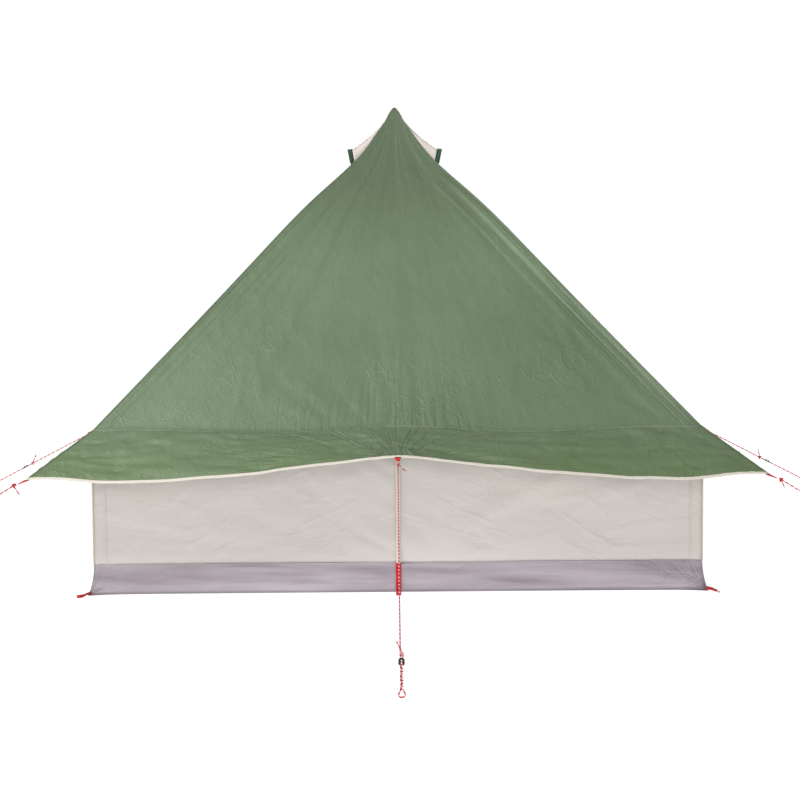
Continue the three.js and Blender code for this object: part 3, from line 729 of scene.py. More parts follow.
def build_runner(name, along, across, centre):
    """A runner: a rounded oval ring of moulded plastic with two bars across it."""
    up = unit(np.cross(across, along))
    up = up if up[2] > 0 else -up
    half, straight = 0.0088, 0.0115
    t = np.linspace(0, 2 * math.pi, 56, endpoint=False)
    out_along = half * np.sin(t) + straight * np.sign(np.sin(t))
    ring = centre + across * half * np.cos(t)[:, None] + along * out_along[:, None]
    shapes = [tube(f"runner_ring_{name}", ring, 0.0034, 14, closed=True)]
    for k, place in enumerate((-0.0075, 0.0075)):
        a = np.linspace(-half, half, 9)[:, None]
        bar = centre + across * a + along * place + up * 0.0062 * np.cos(a / half * 1.45)
        shapes.append(tube(f"runner_bar_{name}_{k}", bar, 0.0022, 12))
    return [give(shape, PLASTIC, f"runner_{name}", [] if k else [f"runner_{name}"])
            for k, shape in enumerate(shapes)]


for line_name, line in LINES.items():
    guyline(line_name, *line)


# ---------------------------------------------------------------- the fly's surface
# u runs from -1 to 1 along a side, and s from 0 at the peak to 1 at the seam and 2 at the hem.
FACE_SLOPE = math.atan2(PEAK_Z - SEAM_Z, SEAM)
FACE_OUT = np.array([0.0, -math.sin(FACE_SLOPE), math.cos(FACE_SLOPE)])
FLY_U = np.linspace(-1, 1, COLUMNS + 1)
EAVE_S = np.linspace(1, 2, EAVE_ROWS)
FLY_S = np.concatenate([np.linspace(0, 1, ROOF_ROWS), EAVE_S[1:]])


def hem_height(u):
    """The hem: drawn up at its middle's guyline, hanging lowest between, and up again at its corners."""
    side = np.sqrt(u * u + 0.05 ** 2) - 0.05
    rise = np.clip(1 - side / 0.76, 0, 1)
    pulled = (HEM_MID_Z - 0.002 - HEM_LOW_Z) * rise ** 2 * (1 + 0.4 * (1 - rise))
    corner = (CORNER_Z - HEM_LOW_Z - 0.002) * np.clip((side - 0.55) / 0.45, 0, 1) ** 2
    wave = 0.0030 * noise(u * 13, 0 * u, 33) * smooth(0.03, 0.2, side) * smooth(0.0, 0.08, 1 - side)
    return HEM_LOW_Z + 0.002 + pulled + corner + 0.011 * arch((side - 0.76) / 0.24) + wave


def roof_half(s):
    """Half side of the roof: hollow, most of all near the peak."""
    straight = 0.006 + (SEAM - 0.006) * s
    neck = 0.050 * np.exp(-(((s - 0.172) / 0.13) ** 2)) * smooth(0, 0.05, s)
    return straight - neck - 0.016 * arch(s)


def fly_half(s):
    return np.where(s < 1, roof_half(np.minimum(s, 1)), SEAM + (EAVE - SEAM) * (s - 1))


def roof_height(s):
    return PEAK_Z + (SEAM_Z - PEAK_Z) * s


def seam_sag(u):
    """The seam is lifted at its middle, and sags on both sides of it."""
    return 0.010 * np.exp(-((u / 0.22) ** 2)) - 0.022 * arch(np.abs(u) / 0.85) ** 2


def fold_depth(u, s, seed):
    """How far the cloth stands out from its smooth shape, in metres. It is nothing along the ridges."""
    half = fly_half(s)
    x = u * half
    z = np.where(s < 1, roof_height(np.minimum(s, 1)), SEAM_Z - (s - 1) * 0.35)
    beside = half - np.abs(x)
    eave = smooth(0.97, 1.03, s)
    roof = 1 - eave
    depth = 0.010 * noise(x * 1.4, z * 1.1, seed) * smooth(0, 0.5, beside)
    # Streaks that hang from the peak
    streaks = noise(u * 9, s * 1.2, seed + 1) + 0.6 * noise(u * 21, s * 1.6, seed + 2)
    depth = depth + 0.0022 * streaks * smooth(0.02, 0.25, s) * roof
    # Long folds beside the ridges
    ridge = np.exp(-((beside - 0.05) / 0.09) ** 2) * roof
    long_folds = 0.0105 * ridge * noise(beside * 22, s * 2.4 + 3 * np.sign(u), seed + 3)
    long_folds += 0.0050 * near(beside, 0.2) * noise(beside * 42, s * 3.5 + 5 * np.sign(u), seed + 4)
    depth = depth + long_folds * smooth(0.10, 0.5, s)
    # Fans of folds out of the corners of the eave
    for hand in (-1, 1):
        dx, dz = x - hand * EAVE, (z - CORNER_Z) * 1.6
        reach, angle = np.hypot(dx, dz), np.arctan2(dz, -hand * dx)
        depth = depth + 0.0085 * near(reach, 0.45) * noise(angle * 15, reach * 1.3, seed + 5 + hand)
    # Creases out of the middle of the hem
    rise = z - HEM_MID_Z + 0.06
    reach, angle = np.hypot(x, rise * 1.3), np.arctan2(rise, x)
    fan = 0.010 * noise(angle * 11, reach * 1.2, seed + 8) * smooth(0.55, 1.0, s)
    fan = fan + 0.009 * creases(angle * 7, reach * 1.5, seed + 9, 6) * eave
    depth = depth + fan * near(reach, 0.5)
    # Crumpled cloth on the eave, and in patches on the roof
    depth = depth + 0.005 * noise(x * 6, s * 9, seed + 10) * eave * smooth(0, 0.3, beside)
    depth = depth - 0.010 * creases(x * 5 + 0.7 * s, s * 5, seed + 11, 7) * eave
    patch = smooth(0.0, 0.5, noise(x * 1.1, z * 1.1, seed + 12))
    depth = depth + 0.0045 * creases(x * 8, z * 7, seed + 13, 5) * patch * roof
    # The stitched seam draws the cloth in, and the hem's binding holds its edge flat
    drawn = 1 - 0.85 * np.exp(-(((s - 1.0) / 0.045) ** 2))
    calm = 1 - 0.75 * smooth(1.88, 1.97, s)
    return depth * drawn * smooth(0.0, 0.06, beside) * calm


def fly_at(side, u, s, lift=0.0):
    """Points of the fly, lifted off its surface by a height."""
    u, s = np.broadcast_arrays(np.asarray(u, float), np.asarray(s, float))
    on_roof, e = np.minimum(s, 1), np.clip(s - 1, 0, 1)
    hollow = 0.022 * arch(on_roof) * (1 - u * u) * (1 - e)
    eave_z = SEAM_Z + (hem_height(u) - SEAM_Z) * e + 0.012 * arch(e) * (1 - u ** 4)
    z = np.where(s < 1, roof_height(on_roof), eave_z)
    z = z + seam_sag(u) * np.where(s < 1, on_roof ** 7, (1 - e) ** 1.5)
    half = fly_half(s)
    points = np.stack([u * half, -(half - hollow), z], -1)
    out = fold_depth(u, s, SEEDS[side]) + lift
    return turned(points + FACE_OUT * out[..., None], SIDES[side])


def fly_grid(side):
    """One side of the fly. The left and right sides leave the mesh window open."""
    points = fly_at(side, FLY_U[None, :], FLY_S[:, None])
    uv = spread(FLY_U * FLY_UV[0], FLY_S * FLY_UV[1])
    if side == "back":
        return points, uv
    mid_s = ((FLY_S[1:] + FLY_S[:-1]) / 2)[:, None]
    mid_u = ((FLY_U[1:] + FLY_U[:-1]) / 2)[None, :]
    window = (mid_s > VENT["top"]) & (mid_s < VENT["low"]) & (np.abs(mid_u) < VENT["half"])
    return points, uv, ~window


def canopy_half(z):
    return CANOPY_HALF * (1 - z / CANOPY_Z)


def front_eave(hand, share, e):
    """Points of the front eave: share from 0 at the corner to 1 beside the door, e from seam to hem."""
    share, e = np.broadcast_arrays(np.asarray(share, float), np.asarray(e, float))
    foot_x, foot_y, foot_z = CANOPY_FOOT
    u = hand * (SEAM + (canopy_half(SEAM_Z) - SEAM) * share) / SEAM
    seam = fly_at("front", u, np.ones_like(u))
    sweep = share ** 3
    hem = np.stack([-hand * (EAVE + (foot_x - EAVE) * share), EAVE + (foot_y - EAVE) * sweep,
                    CORNER_Z + (foot_z - CORNER_Z) * sweep - 0.020 * arch(share) ** 2], -1)
    flutter = 0.006 * noise(share * 9, e * 3, 300 + hand) * (1 - (1 - share) ** 6)
    crumple = 0.004 * noise(share * 26, e * 6, 320 + hand)
    rise = (flutter + crumple + 0.010) * arch(e)
    return seam + (hem - seam) * e[..., None] + UP * rise[..., None]


def front_half(hand):
    """Half of the fly's front, from its ridge to the canopy, and its edge along the canopy."""
    notch = (PEAK_Z - CANOPY_Z) / (PEAK_Z - SEAM_Z)
    above = 48
    s = np.concatenate([np.linspace(0, notch, above), np.linspace(notch, 1, 62)[1:]])
    share = np.linspace(0, 1, COLUMNS // 2 + 1)
    inner = np.where(s > notch, canopy_half(roof_height(s)) / roof_half(s), 0.0)
    roof = fly_at("front", hand * (1 + (inner[:, None] - 1) * share), s[:, None])
    eave = front_eave(hand, share[None, :], EAVE_S[1:, None] - 1)
    uv = spread(share * FLY_UV[0], np.concatenate([s, EAVE_S[1:]]) * FLY_UV[1])
    return (np.concatenate([roof, eave]), uv), roof[above - 1:, -1]


def canopy_grid(left, right):
    """The canopy's cloth, from one edge over its ridge to the other, and then out to its lip."""
    t = np.linspace(0, 1, 14)[None, :, None]
    ridge = np.stack([0 * left[:, 0], (left[:, 1] + right[:, 1]) / 2, 0 * left[:, 0] + CANOPY_Z - 0.002], -1)
    up, down = ((a[:, None] + (b - a)[:, None] * t) for a, b in ((left, ridge), (ridge, right)))
    points = np.concatenate([up, down[:, 1:]], axis=1)
    width = np.linspace(-1, 1, points.shape[1])
    move = (CANOPY_LIP - 0.004 - ridge[-1, 1]) * -OUT - UP * 0.012 * np.abs(width)[:, None]
    lip = [points[-1] + move * t for t in np.linspace(0, 1, 5)[1:]]
    points = np.concatenate([points, lip])
    rows = len(points)
    sag = 0.003 * arch(np.abs(width)) * smooth(0, 0.4, np.linspace(0, 1, rows))[:, None]
    ripple = 0.001 * noise(width * 6, np.linspace(0, 8, rows)[:, None], 410) * arch(np.abs(width))
    points[..., 0] -= np.sign(points[..., 0]) * (sag + ripple)
    return points, spread(width, np.linspace(0, 0.9, rows))


# ---------------------------------------------------------------- the fly's edges and seams
def hem_binding(name, grid):
    """The binding of a grid's last row."""
    normal = unit(np.cross(np.gradient(grid, axis=1), np.gradient(grid, axis=0)))[-1]
    normal[np.sum(normal * grid[-1] * (1, 1, 0.3), -1) < 0] *= -1
    tape = edge_binding(name, grid[-1], grid[-2] - grid[-1], normal, BINDING)
    return give(tape, CREAM_TAPE, "tent")


def fly_bindings(fronts, lip):
    rows = np.linspace(1.9, 2.0, 4)[:, None]
    tapes = [hem_binding(f"hem_binding_{side}", fly_at(side, FLY_U[None, :], rows)) for side in PLAIN_SIDES]
    # The front side faces the other way, so its first half is the tent's right
    tapes += [hem_binding(f"hem_binding_front_{hand}", front[0][-4:])
              for hand, front in zip(("right", "left"), fronts)]
    out = np.stack([lip[:, 0] * 2.6, 0 * lip[:, 0], 0 * lip[:, 0] + 0.7], -1)
    tape = edge_binding("canopy_binding", lip, np.tile(OUT, (len(lip), 1)), out, 0.016)
    return tapes + [give(tape, CREAM_TAPE, "tent")]


def front_strip(u, s, lift):
    """The seam strip on the front: its upper rows on the roof, its lower rows on the eave."""
    share = np.clip((1 - np.abs(u)) * SEAM / (SEAM - canopy_half(SEAM_Z)), 0, 1)
    rows = []
    for level, height in zip(s, lift):
        on_eave = front_eave(1 if u[0] > 0 else -1, share, level - 1)
        row = fly_at("front", u, level) if level <= 1 else on_eave
        rows.append(row + np.array([0, 0.7, 0.7]) * height)
    return np.array(rows)


def eave_seams():
    """The felled seams round the roof, where the eave is sewn on."""
    across = np.linspace(-1, 1, 5)
    lift = 0.0009 * (1 - across ** 4) + 0.0007
    s = 1.005 + across * 0.0036
    s = np.where(s > 1, 1 + (s - 1) * 5.2, s)
    strips = []
    for side in SIDES:
        parts = [FLY_U] if side != "front" else [FLY_U[FLY_U < -0.27], FLY_U[FLY_U > 0.27]]
        for i, u in enumerate(parts):
            if side == "front":
                points = front_strip(u, s, lift)
            else:
                points = fly_at(side, u[None, :], s[:, None], lift[:, None])
            name = f"eave_seam_{side}" + (f"_{i}" if i else "")
            strip = sheet(name, [(points, spread(u * SEAM, across * 0.007))], STRIP)
            strips.append(give(strip, EAVE_SEAM, "tent"))
    return strips


def beside_ridge(side, hand, du, s):
    """Points of a side beside its ridge, on the left (hand -1) or the right (hand 1)."""
    if side != "front":
        return fly_at(side, hand * (1 - du), s)
    roof = fly_at(side, hand * (1 - du), np.minimum(s, 1))
    eave = front_eave(hand, du * EAVE / (EAVE - CANOPY_FOOT[0]), np.clip(s - 1, 0, 1))
    return np.where((s < 1)[:, None], roof, eave)


def ridge_seams():
    """The felled seams down the four ridges. They start below the vent hoods, which close over them."""
    s = np.concatenate([np.linspace(0.18, 1, 92), np.linspace(1, 1.985, 26)[1:]])
    width, low, high = 0.0075, 0.0007, 0.0021
    du = width / fly_half(s)
    order = ["back", "right", "front", "left"]
    strips = []
    for side, other in zip(order, order[1:] + order[:1]):
        one = beside_ridge(side, 1, du, s)
        middle = fly_at(side, np.ones_like(s), s)
        two = beside_ridge(other, -1, du, s)
        out = unit(middle * (1, 1, 0)) + UP * 0.5
        points = np.array([one + out * low, (one + middle) / 2 + out * high, middle + out * high,
                           (two + middle) / 2 + out * high, two + out * low])
        uv = spread(s * FLY_UV[1], np.linspace(-width, width, 5))
        strip = sheet(f"ridge_seam_{side}_{other}", [(points, uv)], STRIP)
        strips.append(give(strip, FLY_SEAM, "tent"))
    return strips


def hem_patch(side):
    """A fan-shaped patch sewn on over the middle of the hem, with pleats that radiate from the hem."""
    eave_length = math.hypot(EAVE - SEAM, SEAM_Z - HEM_LOW_Z)
    theta = np.radians(np.linspace(3, 177, 41))[None, :]
    edge = 0.095 / (np.abs(np.cos(theta)) + 0.9 * np.sin(theta)) ** 0.8
    radius = np.linspace(0.004, 1.0, 14)[:, None] * edge
    x = radius * np.cos(theta)
    up = radius * np.sin(theta) + BINDING * 0.8
    s = 2 - up / eave_length
    pleat = 0.0016 * (noise(theta * 13, radius * 4, SEEDS[side] + 50) + 1) * smooth(0, 0.03, radius)
    points = fly_at(side, np.clip(x / fly_half(s), -0.999, 0.999), s, 0.0014 + pleat)
    patch = sheet(f"hem_patch_{side}", [(points, np.stack([x, up], -1))], 0.0007)
    return give(patch, FLY_PATCH, "tent")


def build_fly():
    """The fly is one cloth: three plain sides, the two halves of its front, and the canopy."""
    (right, right_edge), (left, left_edge) = front_half(-1), front_half(1)
    canopy = canopy_grid(left_edge, right_edge)
    fly = sheet("fly", [fly_grid(side) for side in PLAIN_SIDES] + [right, left, canopy])
    nodes = [f"roof_{side}" for side in SIDES] + ["door_canopy", "peak_cap"]
    nodes += ["eave_back", "eave_left", "eave_right", "eave_front_left", "eave_front_right"]
    give(fly, FLY, "tent", nodes)
    edges = fly_bindings([right, left], canopy[0][-1]) + eave_seams() + ridge_seams()
    edges += [hem_patch(side) for side in PLAIN_SIDES]


# ---------------------------------------------------------------- walls
def wall_depth(x, z, seed):
    """Wrinkles of a wall, in metres, fading at its corners."""
    up = z - TUB_Z
    reach, angle = np.hypot(x, up * 1.2), np.arctan2(up * 1.2, x)
    depth = 0.0045 * noise(angle * 9, reach * 1.1, seed) * smooth(0.05, 0.5, reach)
    depth = depth + 0.0035 * creases(angle * 8, reach * 1.6, seed + 1, 5) * smooth(0.1, 0.6, reach)
    slant = (x * 0.55 + up) * 26 * np.sign(x)
    depth = depth + 0.0055 * near(np.abs(x), 0.20) * noise(slant, x * 3, seed + 2)
    fine = creases((x + z) * 5.0, (x - z) * 1.6, seed + 3, 4)
    depth = depth + 0.0030 * fine * np.sign(noise(x * 2, z * 2, seed + 4))
    depth = depth + 0.006 * noise(x * 1.3, z * 2.2, seed + 5)
    depth = depth - 0.004 * np.exp(-((up / 0.015) ** 2))
    return depth * smooth(0, 0.06, WALL - np.abs(x))


def wall_top(u):
    return SEAM_Z - 0.030 + seam_sag(u)


def wall_hold(v):
    """A wall's wrinkles die out at its sewn edges: v is 0 at the groundsheet and 1 under the seam."""
    return smooth(0, 0.06, v) * (1 - smooth(0.9, 1, v))


def wall_points(side, x, v):
    """Points of a wall: x along its side, v from 0 at the groundsheet to 1 under the seam."""
    x, v = np.broadcast_arrays(np.asarray(x, float), np.asarray(v, float))
    low = TUB_Z - 0.006
    z = low + (wall_top(x / WALL) - low) * v
    out = WALL + 0.001 - WALL_LEAN * smooth(0.80, 1.0, v)
    depth = wall_depth(x, z, SEEDS[side] + 200) * wall_hold(v)
    return turned(np.stack([x * out / WALL, -(out + depth), z], -1), SIDES[side])


def build_walls():
    """The back and side walls are one cloth, with a tape, two seams and a piped corner on each side."""
    v = np.linspace(0, 1, 44)[:, None]
    x = np.linspace(-WALL, WALL, 131)[None, :]
    order = ("left", "back", "right")
    grids = []
    for side in order:
        points = wall_points(side, x, v)
        grids.append((points, np.stack([points[..., 0] + points[..., 1], points[..., 2]], -1)))
    walls = sheet("walls", grids)
    give(walls, CREAM, "tent", ["wall_back", "wall_left", "wall_right"])

    def strip(name, side, x, z, share_of, lift, width, thickness, material):
        line = wall_points(side, np.full_like(z, x), (z - TUB_Z) / share_of)
        line = line + turned(OUT, SIDES[side]) * lift
        shape = ribbon(name, line, turned(SIDEWAYS, SIDES[side]), width, thickness, 0.0006)
        give(shape, material, "tent")

    for side in order:
        middle_top, corner_top = float(wall_top(0.0)), float(wall_top(0.9))
        z = np.linspace(TUB_Z, middle_top - 0.01, 40)
        strip(f"wall_tape_{side}", side, 0.0, z, middle_top - TUB_Z, 0.0045, 0.022, 0.0016, CREAM_TAPE)
        z = np.linspace(TUB_Z, TUB_Z + 0.60, 40)
        for letter, hand in (("a", -1), ("b", 1)):
            strip(f"wall_seam_{side}_{letter}", side, hand * (WALL - 0.060), z, corner_top - TUB_Z,
                  0.0012, 0.009, 0.0010, CREAM)
    for name, (sx, sy) in CORNERS.items():
        z = np.linspace(TUB_Z, SEAM_Z - 0.045, 40)
        out = WALL + 0.0015 - WALL_LEAN * smooth(0.80, 1.0, (z - TUB_Z) / (SEAM_Z - 0.03 - TUB_Z))
        tape = tube(f"wall_piping_{name}", np.stack([sx * out, sy * out, z], -1), 0.0032, 8)
        give(tape, SAND, "tent")


def hinge_x(z):
    """Half width of the door's triangle at a height."""
    return DOOR_HALF * (1 - z / DOOR_TOP)


def build_front_walls():
    """The walls on both sides of the door, from the corner to its edge and up into the canopy."""
    plane = WALL + 0.001
    for name, hand in HANDS:
        seed = 500 + hand
        v = np.linspace(0, 1, 44)[:, None]
        share = np.linspace(0, 1, 50)[None, :]
        low, high = TUB_Z - 0.006, SEAM_Z - 0.030
        z = low + (high - low) * v + 0 * share
        inner = hinge_x(z) + 0.003
        x = WALL + (inner - WALL) * share
        lean = WALL_LEAN * smooth(0.80, 1.0, v) * smooth(0, 0.1, x - inner)
        depth = wall_depth(x, z, seed) * wall_hold(v) * smooth(0, 0.2, x - inner)
        points = np.stack([hand * x * (1 - lean * (x > 1.4) / WALL), plane - lean + depth, z], -1)
        lower = (points, np.stack([x - WALL, z], -1))
        share = np.linspace(0, 1, 12)[None, :]
        z = np.linspace(high, FRONT_WALL_TOP, 60)[:, None] + 0 * share
        outer = canopy_half(z) - 0.016
        x = outer + (hinge_x(z) + 0.003 - outer) * share
        bow = 0.002 * arch(share) * noise(z * 8, x * 9, seed + 9)
        upper = (np.stack([hand * x, plane + bow, z], -1), np.stack([x - WALL, z], -1))
        wall = sheet(f"front_wall_{name}", [lower, upper])
        give(wall, CREAM, "tent", [f"wall_front_{name}"])
        z = np.linspace(TUB_Z + 0.006, FRONT_WALL_TOP - 0.005, 90)
        edge = np.stack([hand * (hinge_x(z) + 0.003), 0 * z + plane, z], -1)
        binding = bound(f"door_binding_{name}", edge, hand * SIDEWAYS, 0.014, 0.0014, "tent")


def bound(name, edge, inward, width, thickness, body):
    """A grey binding on an edge of the door side."""
    inward, out = (np.tile(d, (len(edge), 1)) for d in (inward, -OUT))
    return give(edge_binding(name, edge, inward, out, width, thickness), GREY_TAPE, body)


# ---------------------------------------------------------------- groundsheet
TUB_FACE = TUB - 0.0005


def tub_points(side, x, z):
    """The groundsheet's side, pulled out at the corners' feet towards the peg loops."""
    x, z = np.broadcast_arrays(np.asarray(x, float), np.asarray(z, float))
    beside = np.maximum(TUB_FACE - np.abs(x), 0)
    rise = arch(z / TUB_Z)
    low = np.clip(1 - z / TUB_Z, 0, 1)
    pull = 0.026 * low ** 2.2 * near(beside, 0.035)
    foot = 0.010 * low ** 1.5 * near(beside, 0.25) * (1 - near(beside, 0.05))
    seed = SEEDS[side] + 400
    depth = 0.016 * noise(x * 1.1, z * 13 + x * 1.5, seed) + 0.011 * noise(x * 2.7 + z * 6, z * 24, seed + 1)
    depth = depth + 0.0045 * noise(x * 5, z * 44 + x * 4, seed + 3)
    reach, angle = np.hypot(beside, z), np.arctan2(z, beside + 1e-6)
    depth = depth + 0.010 * near(reach, 0.40) * noise(angle * 11, reach * 3 + 7 * np.sign(x), seed + 2)
    # Calmer under the strap at its middle, and still at its corners and both edges
    depth = depth * (0.35 + 0.65 * smooth(0.02, 0.12, np.abs(x))) * rise ** 0.6 * smooth(0, 0.03, beside)
    belly = 0.009 * rise ** 0.8 - 0.010 * near(z, 0.010) * (1 - near(beside, 0.08))
    depth = depth + belly * smooth(0, 0.1, beside)
    out = TUB_FACE + np.clip(depth, -0.012, 0.026) + foot + pull
    return turned(np.stack([x + np.sign(x) * pull, -out, z + 0.0005], -1), SIDES[side])


def build_groundsheet():
    """The bathtub floor: four sides and a floor that lies flat but for small swells."""
    x = np.linspace(-TUB_FACE, TUB_FACE, 121)
    z = np.concatenate([[0], np.linspace(0.004, TUB_Z, 22)])
    sides = [tub_points(side, x[None, :], z[:, None]) for side in SIDES]
    gx, gy = np.meshgrid(x, x)
    swell = 0.0018 * (noise(gx * 3, gy * 3, 61) + 0.6 * noise(gx * 9, gy * 9, 62) + 0.8)
    under_pole = np.hypot(gx, gy) > 0.06
    floor = np.stack([gx, gy, 0.0005 + np.clip(swell, 0, 0.0022) * under_pole], -1)
    floor[0], floor[-1] = sides[0][0], sides[2][0][::-1]
    floor[:, -1], floor[:, 0] = sides[1][0], sides[3][0][::-1]
    grids = [(points, spread(x, z)) for points in sides] + [(floor, np.stack([gx, gy], -1))]
    tub = sheet("bathtub_floor", grids, 0.0004, weld=1e-4)
    give(tub, FLOOR_CLOTH, "tent", ["groundsheet"])
    for side in SIDES:
        part = np.linspace(-TUB_FACE + 0.02, TUB_FACE - 0.02, 121)
        line = tub_points(side, part, TUB_Z - 0.004) + turned(OUT, SIDES[side]) * 0.0015
        seam = ribbon(f"floor_seam_{side}", line, UP, 0.009, 0.0010, 0.0005)
        give(seam, FLOOR_CLOTH, "tent")


# ---------------------------------------------------------------- door
def build_door():
    """Two leaves, each with its half of the zip, its bound slanted edge and its bound hem."""
    low, high = DOOR_LEAF
    cloth_y = DOOR_Y + 0.0005
    for name, hand in HANDS:
        body = f"door_leaf_{name}"
        z = np.linspace(low, high, 96)[:, None]
        share = np.linspace(0, 1, 40)[None, :]
        x = hinge_x(z) + (0.001 - hinge_x(z)) * share
        seed = 600 + hand
        sag = 0.004 * noise(x * 5, z * 2.0, seed) + 0.003 * noise((x + z) * 9, (x - z) * 3, seed + 1)
        sag = sag + 0.0025 * creases(x * 6 + z * 4, z * 2 - x * 3, seed + 2, 5)
        sag = sag * arch(share) ** 0.7 * arch((z - low) / (high - low)) ** 0.4
        z = z + 0 * x
        points = np.stack([hand * x, cloth_y + sag, z], -1)
        leaf = sheet(f"door_{name}", [(points, np.stack([x, z], -1))])
        give(leaf, CREAM, body, [body])
        z = np.linspace(0.164, 1.580, 60)
        path = np.stack([0 * z + hand * 0.0105, 0 * z + DOOR_Y + 0.0020, z], -1)
        tape = ribbon(f"zip_{name}", path, SIDEWAYS, 0.015, 0.0010)
        give(tape, ZIP_TAPE, body, [f"zip_tape_{name}"])
        teeth = give(zip_teeth(f"zip_teeth_{name}", hand, 0.168, 1.576), ZIP, body)
        z = np.linspace(low, high, 90)
        edge = np.stack([hand * hinge_x(z), 0 * z + cloth_y, z], -1)
        flap = bound(f"door_edge_{name}", edge, -hand * SIDEWAYS, 0.012, 0.0012, body)
        x = np.linspace(0.004, hinge_x(low) - 0.004, 60)
        edge = np.stack([hand * x, 0 * x + cloth_y, 0 * x + low], -1)
        hem = bound(f"door_hem_{name}", edge, UP, 0.014, 0.0012, body)


def zip_teeth(name, hand, low, high, pitch=0.0055):
    """A coil zip's teeth: a row of small blocks on the tape's edge, each narrower at its front."""
    half = np.array([0.0016, 0.0009, 0.0017])
    block = np.array([(-1, -1, -1), (1, -1, -1), (1, 1, -0.6), (-1, 1, -0.6),
                      (-1, -1, 1), (1, -1, 1), (1, 1, 0.6), (-1, 1, 0.6)]) * half
    sides = ((0, 3, 2, 1), (4, 5, 6, 7), (0, 1, 5, 4), (1, 2, 6, 5), (2, 3, 7, 6), (3, 0, 4, 7))
    verts, faces = [], []
    for i in range(int((high - low) / pitch)):
        first = len(verts)
        verts += list(block + (hand * (0.0035 + half[0] * 0.2), DOOR_Y + 0.0034, low + i * pitch))
        faces += [[first + k for k in side] for side in sides]
    return new_object(name, verts, faces, flat=True)


def build_zip_slider():
    """The slider's waisted body and the pull that hangs from it."""
    low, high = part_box("zip_slider")
    middle_x, middle_y = (low.x + high.x) / 2, (low.y + high.y) / 2
    base = low.z + 0.010
    turns = np.linspace(0, 2 * math.pi, 17)
    cx, cy = (np.sign(w) * np.abs(w) ** 0.55 for w in (np.cos(turns), np.sin(turns)))
    # Height, width and depth of each section, as shares of the slider's own
    sections = ((0, 0.55, 0.55), (0.1, 0.8, 0.85), (0.35, 1.0, 1.0), (0.6, 0.95, 1.0), (0.85, 0.75, 0.85),
                (1.0, 0.45, 0.5))
    points = np.array([np.stack([middle_x + wide * (high.x - low.x) / 2 * cx,
                                 middle_y + deep * (high.y - low.y) * 0.42 * cy,
                                 0 * cx + base + (high.z - base) * up], -1) for up, wide, deep in sections])
    rows, cols = points.shape[:2]
    faces = grid_faces(rows, cols, flip=True)
    faces += [list(range(cols - 1)), list(range((rows - 1) * cols, rows * cols - 1))[::-1]]
    body = welded(new_object("zip_slider_body", points.reshape(-1, 3), faces))
    give(body, ZIP, "zip_slider", ["zip_slider"])
    t = np.linspace(0, 1, 14)
    pull = np.stack([0 * t + middle_x, 0 * t + high.y - 0.0012, base + 0.012 - 0.045 * t], -1)
    widths = np.interp(t, [0, 0.15, 0.5, 0.85, 1], [0.005, 0.006, 0.0045, 0.008, 0.005])
    give(ribbon("zip_slider_pull", pull, SIDEWAYS, widths, 0.0016), ZIP, "zip_slider")


# ---------------------------------------------------------------- vents near the peak
# The hood's ridge line from the peak to its mouth: how far out, how high, and half its width.
HOOD_LINE = np.array([
    [0.012, PEAK_Z - 0.004, 0.010],
    [0.027, 2.530, 0.026],
    [0.047, 2.500, 0.050],
    [0.080, 2.460, 0.078],
    [0.116, 2.420, 0.102],
    [0.168, 2.374, 0.130],
    [0.222, 2.333, 0.152],
    [0.255, 2.3125, 0.165],
])
HOOD_ROWS = 40
HOOD_DROP = 0.074                                   # how far the cheek reaches down to the roof at the mouth


def hood_section(out, z, half, a, fall):
    """Points across the hood, a from -1 to 1: slightly arched and falling at its edges."""
    fall = fall * np.abs(a) ** 3
    return np.stack([a * half * 0.92, -(out - fall * 0.75), z - fall * 0.35], -1)


def build_hood(side, out, z, half, share):
    """The hood's cloth and its bound mouth."""
    body = f"vent_hood_{side}"
    seed = 700 + SEEDS[side]
    a, s = np.linspace(-1, 1, 41), share[:, None]
    ripple = 0.0022 * noise(a * 5, s * 4, seed) * smooth(0, 0.4, s)
    crease = 0.0020 * creases(a * 4 + s * 2, s * 3, seed + 1, 4) * smooth(0, 0.5, s)
    points = hood_section(out[:, None] + ripple + crease, z[:, None], half[:, None], a, 0.013 * s + 0.002)
    points = turned(points, SIDES[side])
    hood = sheet(f"hood_{side}", [(points, spread(a * 0.15, share * 0.35))])
    give(hood, HOOD, body, [body])
    outward = np.tile(turned(OUT + UP, SIDES[side]), (len(a), 1))
    mouth = edge_binding(f"hood_binding_{side}", points[-1], points[-2] - points[-1], outward, 0.012, 0.0014)
    give(mouth, CREAM_TAPE, body)


